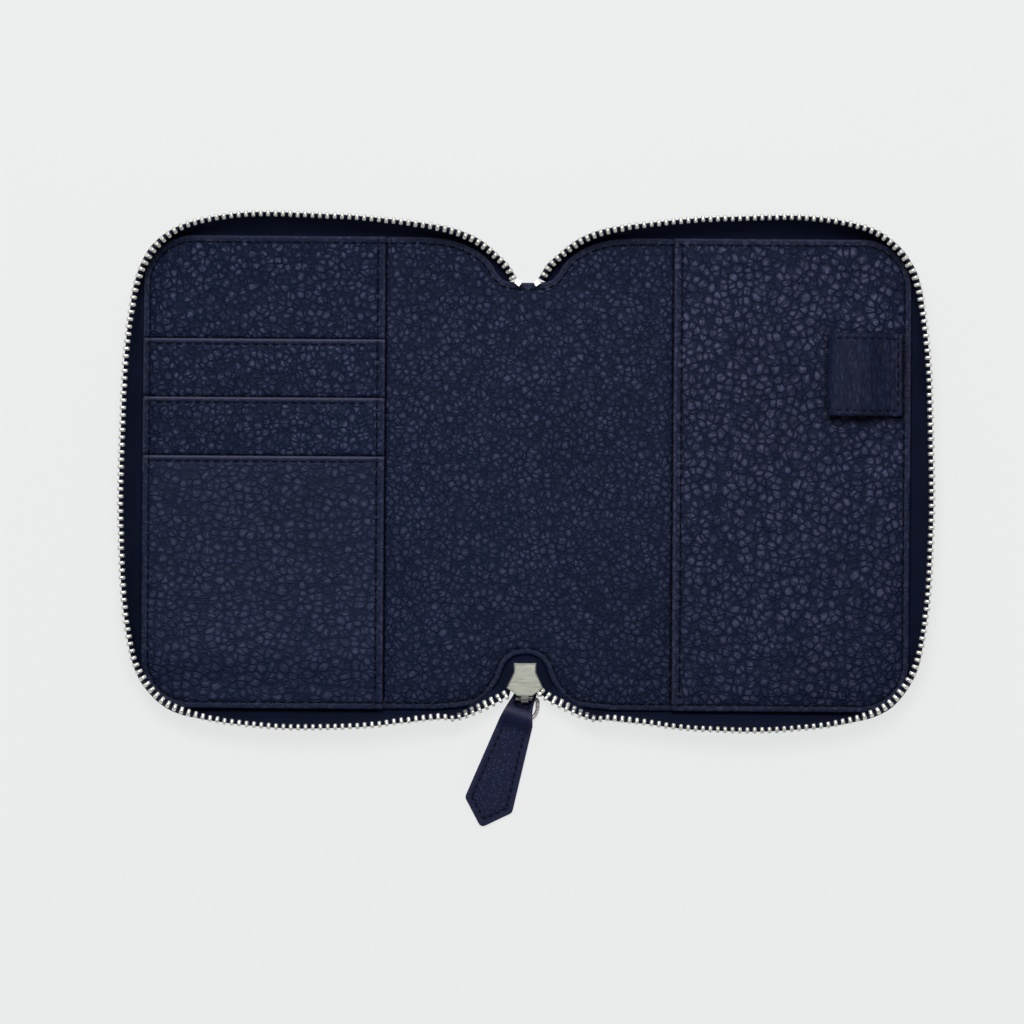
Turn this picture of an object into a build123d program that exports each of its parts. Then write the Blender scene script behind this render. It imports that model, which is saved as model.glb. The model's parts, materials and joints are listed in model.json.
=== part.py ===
from build123d import *
import os
from math import sin, cos, tan, radians, degrees, hypot, atan2, sqrt, pi

# Passport holder, zip-around, lying open on its back.
# Millimetres. +Z up, +X to the card-free half, +Y to the top edge. z = 0 is the
# underside of the outer leather at the spine.

# ---------------------------------------------------------------- driving sizes
half_width = 109.4          # spine centre to the outer leather edge
half_height = 67.4          # centre to the top and bottom leather edges
corner_r = 14.0             # leather corner radius
fold_x = 10.0               # fold axis distance from the spine centre
leather_t = 1.2             # outer leather
board_t = 0.9               # stiffener board
lining_z = 2.2              # underside of the lining
lining_t = 1.0
panel_t = 0.7               # pocket leather
step = 0.8                  # rise from one pocket layer to the next
tape_t = 0.6                # zip tape
seam_z = 1.7                # middle of the tape inside the edge seam
zip_top = 11.65             # tooth tips above the underside
tooth_pitch = 2.1
tooth_len = 4.0
tooth_w = 1.0               # along the chain, at the legs
tooth_tip_w = 0.72          # along the chain, at the tip
tooth_t = 2.2               # through the tape
leg_len = 1.9
wall_start_x = 24.0         # the stiff part of the zip wall starts here
pocket_left_x = 40.5        # inner edge of the card panel
pocket_right_x = 41.8       # mouth of the passport pocket
slot_tops = (38.0, 21.3, 4.6)
slot_feet = (-34.0, -50.5, -67.4)
pen_x0, pen_x1 = 85.4, 107.0
pen_y0, pen_y1 = 17.0, 40.8
pen_clear = 4.35            # clear height inside the pen loop
pen_wall = 0.95
slider_z0, slider_z1 = 3.6, 8.2
channel_z0, channel_z1 = 4.65, 7.15
chain_z = 5.9
ring_z = 1.6
ring_y = -64.2
wire_r = 0.6
hook_w = 2.0
tab_t = 0.9
tab_gap = 1.4
tab_angle = 18.1            # rest swing of the pull tab
tab_x = -0.2

os.makedirs("parts", exist_ok=True)

# ---------------------------------------------------------------- outlines
notch = [(0, 54.5), (3.3, 54.6), (6.5, 55.2), (8.5, 57.0), (10, 59.5), (12, 61.8),
         (14.9, 63.8), (19.2, 65.8), (24.4, 67.0), (30.5, 67.4)]
arch = [(25.5, -67.4), (17, -66.6), (12.4, -65.1), (9.6, -62.1), (7.4, -58.7),
        (5.6, -54.4), (3.4, -52.2), (0, -51.4)]
# Outer line of the teeth, from the spine top round to the slider.
chain_line = [(3.0, 55.9), (5.0, 59.5), (7.9, 62.3), (11.7, 65.5), (16, 68.0), (21.5, 69.9),
              (28, 71.1), (36.5, 72.1), (48, 73.1), (60, 73.6), (74, 74.0), (83, 73.5),
              (91, 72.4), (97.5, 70.8), (102.3, 68.3), (106.7, 64.3), (109.9, 59.5),
              (111.8, 54.5), (113, 48), (114.1, 39), (114.9, 28), (115.3, 15), (115.7, 0),
              (115.8, -10), (115.5, -20), (115.1, -31), (114.3, -41), (113.1, -49.3),
              (111.5, -55.5), (108.3, -61), (103.5, -66), (97, -69.2), (87.8, -71.3),
              (78, -72.4), (66.5, -73.05), (54.5, -72.9), (44, -72.4), (34, -71.2),
              (25.6, -70.3), (18.5, -69.5), (13, -68), (9, -66.4), (5.9, -64.9)]


def smooth(points, per=8):
    """Catmull-Rom curve through the points."""
    out = []
    n = len(points)
    for i in range(n - 1):
        p0 = points[max(i - 1, 0)]
        p1, p2 = points[i], points[i + 1]
        p3 = points[min(i + 2, n - 1)]
        for k in range(per):
            t = k / per
            q = []
            for a in (0, 1):
                q.append(0.5 * (2 * p1[a] + (p2[a] - p0[a]) * t
                                + (2 * p0[a] - 5 * p1[a] + 4 * p2[a] - p3[a]) * t * t
                                + (3 * p1[a] - p0[a] - 3 * p2[a] + p3[a]) * t ** 3))
            out.append(tuple(q))
    out.append(points[-1])
    return out


def walk(points, spacing, start=0.0):
    """Points at even spacing along a polyline."""
    out, need = [], start
    for a, b in zip(points, points[1:]):
        d = sqrt(sum((q - p) ** 2 for p, q in zip(a, b)))
        while d > 0 and need <= d:
            out.append(tuple(p + (q - p) * need / d for p, q in zip(a, b)))
            need += spacing
        need -= d
    return out


edge_line = smooth(notch, 12)
edge_line += walk([(30.5, half_height), (half_width - corner_r, half_height)], 0.5)
edge_line += [(half_width - corner_r + corner_r * sin(radians(a)),
               half_height - corner_r + corner_r * cos(radians(a))) for a in range(0, 91, 2)]
edge_line += walk([(half_width, half_height - corner_r), (half_width, corner_r - half_height)], 0.5)
edge_line += [(half_width - corner_r + corner_r * cos(radians(a)),
               corner_r - half_height - corner_r * sin(radians(a))) for a in range(0, 91, 2)]
edge_line += walk([(half_width - corner_r, -half_height), (25.5, -half_height)], 0.5)
edge_line += smooth(arch, 12)


def ramp(x, table):
    for (x0, v0), (x1, v1) in zip(table, table[1:]):
        if x <= x1:
            t = max(0.0, (x - x0) / (x1 - x0))
            return v0 + (v1 - v0) * t
    return table[-1][1]


def station(p, before, after):
    """Seam point, outward direction, tooth base and tooth lean for one point of the chain."""
    tx, ty = after[0] - before[0], after[1] - before[1]
    s = hypot(tx, ty)
    nx, ny = -ty / s, tx / s            # outward on a clockwise line
    near = min(edge_line, key=lambda q: hypot(q[0] - p[0], q[1] - p[1]))
    reach = max(hypot(near[0] - p[0], near[1] - p[1]), 0.9)
    lean = 38.0 * min(1.0, max(0.0, (6.0 - reach) / 4.3))
    tip_z = zip_top
    if p[0] < wall_start_x + 4 and p[1] > 0:
        lean = lean + (34.0 - lean) * min(1.0, (wall_start_x + 4 - p[0]) / 12.0)
        tip_z = ramp(p[0], [(3, 6.2), (8, 8.0), (16, 10.4), (24, zip_top)])
    if p[0] < wall_start_x + 4 and p[1] < 0:
        lean = ramp(p[0], [(5.9, -86), (9, -72), (13, -45), (18.5, -12), (24, lean), (28, lean)])
        tip_z = ramp(p[0], [(5.9, 6.2), (9, 7.0), (13, 8.6), (18.5, 10.6), (24, zip_top)])
    a = radians(lean)
    if lean >= 0:
        base = (reach - 0.55, tip_z - tooth_len * cos(a))
    else:
        base = (reach + tooth_len * sin(a), tip_z - tooth_len * cos(a))
    return dict(p=p, n=(nx, ny), reach=reach, lean=a, base=base,
                root=(p[0] - nx * reach, p[1] - ny * reach))


dense = walk(smooth(chain_line, 10), 0.5)
stations = [station(dense[i], dense[max(i - 4, 0)], dense[min(i + 4, len(dense) - 1)])
            for i in range(len(dense))]


def place(st, d, z):
    return (st["root"][0] + st["n"][0] * d, st["root"][1] + st["n"][1] * d, z)


def tape_section(st, spread=(0.3, 0.55, 0.8), top=1.55):
    """Closed outline of the tape, as distance from the leather edge and height."""
    (bd, bz), a = st["base"], st["lean"]
    ux, uz = -sin(a), cos(a)
    p1 = (0.2, seam_z) if len(spread) > 1 else (0.75, seam_z)
    pull = min(3.8, 0.7 * hypot(bd - p1[0], bz - p1[1]))
    c = (bd - ux * pull, bz - uz * pull)
    mid = []
    for t in spread:
        mid.append(tuple((1 - t) ** 2 * p1[k] + 2 * t * (1 - t) * c[k] + t * t * (bd, bz)[k]
                         for k in (0, 1)))
    if len(mid) == 1:
        mid = [(max(0.75, min(mid[0][0], 2.4)), 3.75)]
    if top > 0:
        line = [(-2.8, seam_z), p1] + mid + [(bd, bz), (bd + ux * top, bz + uz * top)]
    else:
        line = [(-2.8, seam_z), p1] + mid + [(bd + ux * top, bz + uz * top)]
    left, right = [], []
    for i, (x, z) in enumerate(line):
        a0 = line[max(i - 1, 0)]
        a1 = line[min(i + 1, len(line) - 1)]
        s = hypot(a1[0] - a0[0], a1[1] - a0[1])
        nx, nz = -(a1[1] - a0[1]) / s, (a1[0] - a0[0]) / s
        h = tape_t / 2
        left.append((x + nx * h, z + nz * h))
        right.append((x - nx * h, z - nz * h))
    return left + right[::-1]


def pick(lo, hi, far=9.0, turn=7.0):
    """Station numbers for the tape sections between two station numbers."""
    out, last = [lo], lo
    for i in range(lo + 1, hi):
        a, b = stations[last], stations[i]
        d = hypot(a["p"][0] - b["p"][0], a["p"][1] - b["p"][1])
        w = abs(degrees(atan2(a["n"][0] * b["n"][1] - a["n"][1] * b["n"][0],
                              a["n"][0] * b["n"][0] + a["n"][1] * b["n"][1])))
        w = max(w, abs(degrees(a["lean"] - b["lean"])) * 0.7)
        if d >= far or w >= turn:
            out.append(i)
            last = i
    if stations[hi]["p"] != stations[last]["p"]:
        out.append(hi)
    return out


first = min(i for i, s in enumerate(stations) if s["p"][0] >= wall_start_x)
last = max(i for i, s in enumerate(stations) if s["p"][0] >= wall_start_x)
end = len(stations) - 1


def tape_run(lo, hi, side, spread=(0.3, 0.55, 0.8), top=1.55):
    """A run of zip tape between two stations. side is 1 (right) or -1 (left)."""
    with BuildPart() as run:
        for i in pick(lo, hi):
            st = stations[i]
            nx, ny = st["n"]
            origin = (side * st["root"][0], st["root"][1], 0)
            with BuildSketch(Plane(origin=origin, x_dir=(side * nx, ny, 0), z_dir=(ny, -side * nx, 0))):
                with BuildLine():
                    Polyline(*tape_section(st, spread, top), close=True)
                make_face()
        loft(ruled=True)
    return run


def tooth_frames(side, lo, hi, phase):
    """Where each tooth of a run stands: x along the chain, y along the tooth."""
    def middle(st):
        a = st["lean"]
        return place(st, st["base"][0] - sin(a) * 2, st["base"][1] + cos(a) * 2)
    out, need = [], phase * tooth_pitch
    for i in range(len(stations) - 1):
        a, b = middle(stations[i]), middle(stations[i + 1])
        d = sqrt(sum((q - p) ** 2 for p, q in zip(a, b)))
        while need <= d:
            t = need / d
            if lo < i + t < hi:
                s0, s1 = stations[i], stations[i + 1]
                n = [u + (v - u) * t for u, v in zip(s0["n"], s1["n"])]
                m = hypot(*n)
                n = (n[0] / m, n[1] / m)
                lean = s0["lean"] + (s1["lean"] - s0["lean"]) * t
                q0, q1 = place(s0, *s0["base"]), place(s1, *s1["base"])
                q = [u + (v - u) * t for u, v in zip(q0, q1)]
                up = (-n[0] * sin(lean), -n[1] * sin(lean), cos(lean))
                along = (n[1], -n[0], 0)
                if side < 0:
                    q[0], up, along = -q[0], (-up[0], up[1], up[2]), (n[1], n[0], 0)
                z = (along[1] * up[2] - along[2] * up[1],
                     along[2] * up[0] - along[0] * up[2],
                     along[0] * up[1] - along[1] * up[0])
                out.append(Plane(origin=tuple(q), x_dir=along, z_dir=z))
            need += tooth_pitch
        need -= d
    return out


# One tooth: two legs that clamp the tape edge, and a tapered head.
with BuildPart() as tooth:
    with BuildSketch():
        Polygon((-tooth_w / 2, 0), (tooth_w / 2, 0), (tooth_w / 2, leg_len),
                (tooth_tip_w / 2, tooth_len), (-tooth_tip_w / 2, tooth_len),
                (-tooth_w / 2, leg_len), align=None)
    extrude(amount=tooth_t / 2, both=True)
    with Locations((0, leg_len / 2, 0)):
        Box(tooth_w * 2, leg_len + 0.02, tape_t + 0.4, mode=Mode.SUBTRACT)


def outline(side, grow=20.0):
    """Face of one half of the holder as seen from above, from the spine centre out."""
    def m(points):
        return [(side * x, y) for x, y in points]
    with BuildSketch() as face:
        with BuildLine():
            Spline(*m(notch))
            Line(*m([notch[-1], (half_width - corner_r, half_height)]))
            ThreePointArc(*m([(half_width - corner_r, half_height),
                              (half_width - corner_r * (1 - cos(pi / 4)),
                               half_height - corner_r * (1 - sin(pi / 4))),
                              (half_width, half_height - corner_r)]))
            Line(*m([(half_width, half_height - corner_r), (half_width, corner_r - half_height)]))
            ThreePointArc(*m([(half_width, corner_r - half_height),
                              (half_width - corner_r * (1 - cos(pi / 4)),
                               -half_height + corner_r * (1 - sin(pi / 4))),
                              (half_width - corner_r, -half_height)]))
            Line(*m([(half_width - corner_r, -half_height), arch[0]]))
            Spline(*m(arch))
            Line(*m([arch[-1], notch[0]]))
        make_face()
    return face.sketch


right_face = outline(1)
left_face = outline(-1)


def plate(face, z0, thick, x0, x1):
    """A flat layer: the part of an outline between two x values."""
    with BuildPart() as layer:
        with BuildSketch(Plane.XY.offset(z0)):
            add(face)
            with Locations(((x0 + x1) / 2, 0)):
                Rectangle(abs(x1 - x0), 300, mode=Mode.INTERSECT)
        extrude(amount=thick)
    return layer


# ---------------------------------------------------------------- spine
spine_half = fold_x - 0.1
with BuildPart() as spine_outer_leather:
    with BuildSketch():
        add(right_face)
        add(left_face)
        Rectangle(2 * spine_half, 300, mode=Mode.INTERSECT)
    extrude(amount=leather_t)

with BuildPart() as spine_stiffener:
    with BuildSketch(Plane.XY.offset(leather_t + 0.05)):
        with Locations((0, 1.5)):
            RectangleRounded(2 * (fold_x - 2.3), 94, 2.5)
    extrude(amount=board_t)

with BuildPart() as spine_lining:
    with BuildSketch(Plane.XY.offset(lining_z)):
        add(right_face)
        add(left_face)
        Rectangle(2 * (fold_x - 2.2), 300, mode=Mode.INTERSECT)
    extrude(amount=lining_t)

# Tail of the zip: comes out of the arch seam and lies in the slider's channel.
with BuildPart() as spine_zip_tape:
    with BuildSketch(Plane.YZ):
        with BuildLine():
            h = tape_t / 2
            Polyline((-46.5, seam_z - h), (-52.75, seam_z - h), (-53.3, 3.4), (-53.75, chain_z - h),
                     (-60.4, chain_z - h), (-60.4, chain_z + h), (-53.25, chain_z + h),
                     (-52.7, 3.7), (-52.25, seam_z + h), (-46.5, seam_z + h), close=True)
        make_face()
    extrude(amount=2.6, both=True)
    with Locations((0, -58.4, chain_z)):
        Box(3.4, 7.0, 3.0, mode=Mode.SUBTRACT)

tail_frames = []
for k in range(3):
    for sgn in (1, -1):
        y = -56.7 - 1.75 * k - (0.87 if sgn < 0 else 0.0)
        tail_frames.append(Plane(origin=(sgn * 2.1, y, chain_z), x_dir=(0, -sgn, 0), z_dir=(0, 0, -1)))
with BuildPart() as tail_tooth:
    with BuildSketch():
        Polygon((-0.4, 0), (0.4, 0), (0.4, 1.2), (0.32, 2.6), (-0.32, 2.6), (-0.4, 1.2), align=None)
    extrude(amount=1.0, both=True)
    with Locations((0, 0.3, 0)):
        Box(2, 0.7, tape_t + 0.2, mode=Mode.SUBTRACT)
with BuildPart() as spine_zip_teeth:
    for frame in tail_frames:
        with Locations(frame.location):
            add(tail_tooth.part)

# Box at the end of the zip, clamped across both tapes inside the slider's tail.
with BuildPart() as zip_bottom_stop:
    with BuildSketch(Plane.XY.offset(channel_z0 + 0.2)):
        with Locations((0, -55.45)):
            RectangleRounded(3.2, 1.1, 0.3)
    extrude(amount=channel_z1 - channel_z0 - 0.4)

# ---------------------------------------------------------------- covers
cover0 = fold_x + 0.1
left_outer_leather = plate(left_face, 0, leather_t, -half_width - 1, -cover0)
right_outer_leather = plate(right_face, 0, leather_t, cover0, half_width + 1)
left_lining = plate(left_face, lining_z, lining_t, -half_width - 1, -cover0)
right_lining = plate(right_face, lining_z, lining_t, cover0, half_width + 1)

board_in, board_out = fold_x + 2.0, half_width - 6.0
with BuildPart() as left_stiffener:
    with BuildSketch(Plane.XY.offset(leather_t + 0.05)):
        with Locations((-(board_in + board_out) / 2, 0)):
            RectangleRounded(board_out - board_in, 112, 8)
    extrude(amount=board_t)
with BuildPart() as right_stiffener:
    with BuildSketch(Plane.XY.offset(leather_t + 0.05)):
        with Locations(((board_in + board_out) / 2, 0)):
            RectangleRounded(board_out - board_in, 112, 8)
    extrude(amount=board_t)

panel_z = lining_z + lining_t + 0.05
left_pocket_panel = plate(left_face, panel_z, panel_t, -half_width - 1, -pocket_left_x)
passport_pocket = plate(right_face, panel_z + 0.35, 0.9, pocket_right_x, half_width + 1)
passport_top = panel_z + 0.35 + 0.9


def card_slot(layer, top, foot, drop):
    """A strip of leather over the panel, its foot let down onto the layer below."""
    z0 = panel_z + step * layer
    z1 = z0 - drop
    with BuildPart() as strip:
        with BuildSketch(Plane.YZ.offset(-half_width - 1)):
            with BuildLine():
                Polyline((top, z0), (foot + 14, z0), (foot + 5, z1), (foot, z1),
                         (foot, z1 + panel_t), (foot + 5, z1 + panel_t), (foot + 14, z0 + panel_t),
                         (top, z0 + panel_t), close=True)
            make_face()
        extrude(amount=half_width + 1 - pocket_left_x)
        with BuildSketch():
            add(left_face)
        extrude(amount=20, mode=Mode.INTERSECT)
    return strip


card_slot_upper = card_slot(1, slot_tops[0], slot_feet[0], 0.0)
card_slot_middle = card_slot(2, slot_tops[1], slot_feet[1], step * 1)
card_slot_lower = card_slot(3, slot_tops[2], slot_feet[2], step * 2)

# Pen loop: a strap folded at its left end, both tails sewn down at the right.
loop_z0 = passport_top + 0.05
loop_z1 = loop_z0 + pen_wall
loop_z2 = loop_z1 + pen_clear
loop_z3 = loop_z2 + pen_wall
fold_r = (loop_z3 - loop_z0) / 2
with BuildPart() as pen_loop:
    with BuildSketch(Plane.XZ.offset(-pen_y1)):
        with BuildLine():
            cz = (loop_z0 + loop_z3) / 2
            Line((pen_x1, loop_z0), (pen_x0 + fold_r, loop_z0))
            ThreePointArc((pen_x0 + fold_r, loop_z0), (pen_x0, cz), (pen_x0 + fold_r, loop_z3))
            Line((pen_x0 + fold_r, loop_z3), (96.4, loop_z3))
            Line((96.4, loop_z3), (101.6, loop_z1 + pen_wall))
            Line((101.6, loop_z1 + pen_wall), (pen_x1, loop_z1 + pen_wall))
            Line((pen_x1, loop_z1 + pen_wall), (pen_x1, loop_z0))
        make_face()
        with BuildLine():
            r = fold_r - pen_wall
            Line((99.6, loop_z1), (pen_x0 + fold_r, loop_z1))
            ThreePointArc((pen_x0 + fold_r, loop_z1), (pen_x0 + pen_wall, cz), (pen_x0 + fold_r, loop_z2))
            Line((pen_x0 + fold_r, loop_z2), (95.6, loop_z2))
            Line((95.6, loop_z2), (99.6, loop_z1))
        make_face(mode=Mode.SUBTRACT)
    extrude(amount=pen_y1 - pen_y0)

# ---------------------------------------------------------------- zip walls
left_zip_tape = tape_run(first, last, -1)
right_zip_tape = tape_run(first, last, 1)
gap = 1
bend_top = -1.4      # beside the slider the tape stops just below the teeth
left_bend_tape_top = tape_run(0, first - gap, -1)
left_bend_tape_low = tape_run(last + gap, end, -1, (0.45,), bend_top)
right_bend_tape_top = tape_run(0, first - gap, 1)
right_bend_tape_low = tape_run(last + gap, end, 1, (0.45,), bend_top)

teeth = {}
for name, side, lo, hi in (("left_zip_teeth", -1, first + 1, last - 1),
                           ("right_zip_teeth", 1, first + 1, last - 1),
                           ("left_bend_teeth_top", -1, 1, first - 1),
                           ("left_bend_teeth_low", -1, last + 1, end - 2),
                           ("right_bend_teeth_top", 1, 1, first - 1),
                           ("right_bend_teeth_low", 1, last + 1, end - 2)):
    frames = tooth_frames(side, lo, hi, 0.25 if side < 0 else 0.75)
    teeth[name] = Compound(children=[tooth.part.solids()[0].located(f.location) for f in frames])
    print(name, len(frames), "teeth")

# Clamps at the two upper ends of the chain.
with BuildPart() as zip_end_stops:
    for sgn in (1, -1):
        with Locations(Plane(origin=(sgn * 2.7, 54.35, 5.1), x_dir=(sgn * 0.8, 0.6, 0), z_dir=(0, 0, 1)).location):
            Box(1.6, 1.3, 2.0)

# ---------------------------------------------------------------- slider
hexagon = [(3.17, -53.9), (3.1, -56.4), (5.2, -60.9), (2.1, -63.1)]
ring_hexagon = hexagon + [(-x, y) for x, y in hexagon[::-1]]
rail = 0.85
with BuildPart() as slider_body:
    # plate on the pull side
    with BuildSketch(Plane.XY.offset(slider_z0)):
        Polygon(*ring_hexagon, align=None)
    extrude(amount=channel_z0 - slider_z0)
    # flat plate that faces up
    with BuildSketch(Plane.XY.offset(channel_z1)):
        Polygon(*ring_hexagon, align=None)
    extrude(amount=slider_z1 - channel_z1)
    chamfer(slider_body.faces().sort_by(Axis.Z)[-1].edges(), 0.35)
    # rails either side, with a slit for the tape
    for sgn in (1, -1):
        for z0, z1 in ((channel_z0, chain_z - 0.45), (chain_z + 0.45, channel_z1)):
            with BuildSketch(Plane.XY.offset(z0)):
                Polygon((sgn * 3.17, -53.9), (sgn * 3.1, -56.4), (sgn * 5.0, -60.5),
                        (sgn * (5.0 - rail), -60.5), (sgn * (3.1 - rail), -56.55),
                        (sgn * (3.17 - rail), -53.9), align=None)
            extrude(amount=z1 - z0)
    # wedge that parts the two chains at the mouth
    with BuildSketch(Plane.XY.offset(channel_z0)):
        Polygon((0, -61.7), (1.15, -62.4), (1.0, -63.1), (-1.0, -63.1), (-1.15, -62.4), align=None)
    extrude(amount=channel_z1 - channel_z0)

# Hook under the slider that carries the ring.
hole_r = wire_r + 0.05
hook_r = hole_r + 0.6
with BuildPart() as slider_bridge:
    with BuildSketch(Plane.YZ.offset(-hook_w / 2)):
        with BuildLine():
            Line((-56.6, slider_z0), (-57.6, 2.3))
            Line((-57.6, 2.3), (-59.0, 1.6))
            Line((-59.0, 1.6), (ring_y, ring_z - hook_r))
            ThreePointArc((ring_y, ring_z - hook_r), (ring_y - hook_r, ring_z), (ring_y, ring_z + hook_r))
            Line((ring_y, ring_z + hook_r), (-63.0, slider_z0))
            Line((-63.0, slider_z0), (-56.6, slider_z0))
        make_face()
        with Locations((ring_y, ring_z)):
            Circle(hole_r, mode=Mode.SUBTRACT)
        with Locations((-60.3, 2.55)):
            SlotOverall(3.0, 0.9, mode=Mode.SUBTRACT)
    extrude(amount=hook_w)

# ---------------------------------------------------------------- pull ring
ring_w = 3.7
with BuildPart() as pull_ring:
    with BuildLine() as ring_path:
        Line((0, ring_y, ring_z), (ring_w - 0.9, ring_y, ring_z))
        ThreePointArc((ring_w - 0.9, ring_y, ring_z),
                      (ring_w - 0.9 + 0.9 * sin(pi / 4), ring_y - 0.9 + 0.9 * cos(pi / 4), ring_z),
                      (ring_w, ring_y - 0.9, ring_z))
        Line((ring_w, ring_y - 0.9, ring_z), (ring_w, ring_y - 2.45, ring_z))
        ThreePointArc((ring_w, ring_y - 2.45, ring_z), (0, ring_y - 2.45 - ring_w, ring_z),
                      (-ring_w, ring_y - 2.45, ring_z))
        Line((-ring_w, ring_y - 2.45, ring_z), (-ring_w, ring_y - 0.9, ring_z))
        ThreePointArc((-ring_w, ring_y - 0.9, ring_z),
                      (-ring_w + 0.9 - 0.9 * sin(pi / 4), ring_y - 0.9 + 0.9 * cos(pi / 4), ring_z),
                      (-ring_w + 0.9, ring_y, ring_z))
        Line((-ring_w + 0.9, ring_y, ring_z), (0, ring_y, ring_z))
    with BuildSketch(Plane(origin=(0, ring_y, ring_z), z_dir=(1, 0, 0))):
        Circle(wire_r)
    sweep()

# ---------------------------------------------------------------- pull tab
ta = radians(tab_angle)
tab_plane = Plane(origin=(tab_x, ring_y, 0), x_dir=(cos(ta), -sin(ta), 0), z_dir=(0, 0, 1))
back_in, back_out = 2.25, 3.15
tab_h = 2 * tab_t + tab_gap
tab_pts = [(3.1, 4.0), (3.1, -2.4), (4.8, -6.2), (7.1, -31.7), (0, -38.7)]
tab_half = [(3.1, -2.4), (4.8, -6.2), (7.1, -31.7)]
with BuildPart() as pull_tab:
    side_plane = Plane(origin=tab_plane.origin - tab_plane.x_dir * 8,
                       x_dir=tab_plane.y_dir, z_dir=tab_plane.x_dir)
    with BuildSketch(side_plane):
        with BuildLine():
            c = back_out - tab_h / 2
            Line((c, 0), (-39, 0))
            Line((-39, 0), (-39, 2 * tab_t))
            Line((-39, 2 * tab_t), (-12.0, 2 * tab_t))
            Line((-12.0, 2 * tab_t), (-8.0, tab_h))
            Line((-8.0, tab_h), (c, tab_h))
            ThreePointArc((c, tab_h), (back_out, tab_h / 2), (c, 0))
        make_face()
        with BuildLine():
            c2 = back_in - tab_gap / 2
            Line((c2, tab_t), (-11.0, tab_t))
            Line((-11.0, tab_t), (-7.7, tab_t + tab_gap))
            Line((-7.7, tab_t + tab_gap), (c2, tab_t + tab_gap))
            ThreePointArc((c2, tab_t + tab_gap), (back_in, tab_t + tab_gap / 2), (c2, tab_t))
        make_face(mode=Mode.SUBTRACT)
    extrude(amount=16)
    with BuildSketch(tab_plane) as tab_outline:
        Polygon((-3.1, 4.0), (-3.1, -2.4), (-4.8, -6.2), (-7.1, -31.7), (0, -38.7),
                (7.1, -31.7), (4.8, -6.2), (3.1, -2.4), (3.1, 4.0), align=None)
        fillet(tab_outline.vertices().sort_by(Axis.Y)[0:3], 1.2)
    extrude(amount=6, mode=Mode.INTERSECT)
    # window that clears the slider's hook
    with BuildSketch(tab_plane):
        with Locations((0, 1.0)):
            Rectangle(4.3, 6.0)
    extrude(amount=6, mode=Mode.SUBTRACT)

with BuildPart() as pull_tab_thread:
    with BuildSketch(tab_plane.offset(2 * tab_t)) as thread_line:
        Polygon((-5.25 + 1.8, -12.4), (-7.1 + 1.85, -31.0), (0, -36.2), (7.1 - 1.85, -31.0),
                (5.25 - 1.8, -12.4), align=None)
        offset(amount=-0.3, mode=Mode.SUBTRACT)
    extrude(amount=0.18)

# ---------------------------------------------------------------- names and files
parts = {
    "spine_outer_leather": spine_outer_leather.part,
    "spine_stiffener": spine_stiffener.part,
    "spine_lining": spine_lining.part,
    "spine_zip_tape": spine_zip_tape.part,
    "spine_zip_teeth": spine_zip_teeth.part,
    "zip_bottom_stop": zip_bottom_stop.part,
    "zip_end_stops": zip_end_stops.part,
    "left_outer_leather": left_outer_leather.part,
    "left_stiffener": left_stiffener.part,
    "left_lining": left_lining.part,
    "left_pocket_panel": left_pocket_panel.part,
    "card_slot_upper": card_slot_upper.part,
    "card_slot_middle": card_slot_middle.part,
    "card_slot_lower": card_slot_lower.part,
    "left_zip_tape": left_zip_tape.part,
    "left_zip_teeth": teeth["left_zip_teeth"],
    "left_bend_tape": Compound(children=[left_bend_tape_top.part.solids()[0], left_bend_tape_low.part.solids()[0]]),
    "left_bend_teeth": Compound(children=teeth["left_bend_teeth_top"].solids() + teeth["left_bend_teeth_low"].solids()),
    "right_outer_leather": right_outer_leather.part,
    "right_stiffener": right_stiffener.part,
    "right_lining": right_lining.part,
    "passport_pocket": passport_pocket.part,
    "pen_loop": pen_loop.part,
    "right_zip_tape": right_zip_tape.part,
    "right_zip_teeth": teeth["right_zip_teeth"],
    "right_bend_tape": Compound(children=[right_bend_tape_top.part.solids()[0], right_bend_tape_low.part.solids()[0]]),
    "right_bend_teeth": Compound(children=teeth["right_bend_teeth_top"].solids() + teeth["right_bend_teeth_low"].solids()),
    "slider_body": slider_body.part,
    "slider_bridge": slider_bridge.part,
    "pull_ring": pull_ring.part,
    "pull_tab": pull_tab.part,
    "pull_tab_thread": pull_tab_thread.part,
}
for name, shape in parts.items():
    shape.label = name
    export_step(shape, "parts/" + name + ".step")
    print(name, "solids", len(shape.solids()), "valid", shape.is_valid, "volume", round(shape.volume, 2))
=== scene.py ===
import json
import math
import bpy
import numpy as np
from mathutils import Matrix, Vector, geometry, noise


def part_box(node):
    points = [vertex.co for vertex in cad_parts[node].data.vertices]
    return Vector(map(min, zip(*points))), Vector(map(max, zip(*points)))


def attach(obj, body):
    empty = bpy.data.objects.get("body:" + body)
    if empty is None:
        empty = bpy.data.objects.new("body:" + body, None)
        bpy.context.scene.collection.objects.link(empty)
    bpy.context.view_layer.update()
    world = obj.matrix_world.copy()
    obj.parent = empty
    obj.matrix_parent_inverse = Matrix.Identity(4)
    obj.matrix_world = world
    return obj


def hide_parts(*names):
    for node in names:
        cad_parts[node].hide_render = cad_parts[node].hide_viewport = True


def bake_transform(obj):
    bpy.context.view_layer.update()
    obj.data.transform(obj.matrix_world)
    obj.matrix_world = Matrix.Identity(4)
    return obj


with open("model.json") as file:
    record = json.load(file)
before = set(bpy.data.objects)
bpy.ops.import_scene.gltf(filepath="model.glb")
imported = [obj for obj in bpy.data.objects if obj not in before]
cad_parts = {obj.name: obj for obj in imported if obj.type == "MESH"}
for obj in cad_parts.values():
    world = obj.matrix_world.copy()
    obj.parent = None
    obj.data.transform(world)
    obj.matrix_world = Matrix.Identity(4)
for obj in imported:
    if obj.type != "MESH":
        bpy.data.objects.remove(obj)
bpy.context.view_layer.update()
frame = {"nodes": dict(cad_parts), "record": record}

MM = 0.001
SINGLE = {}


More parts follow.
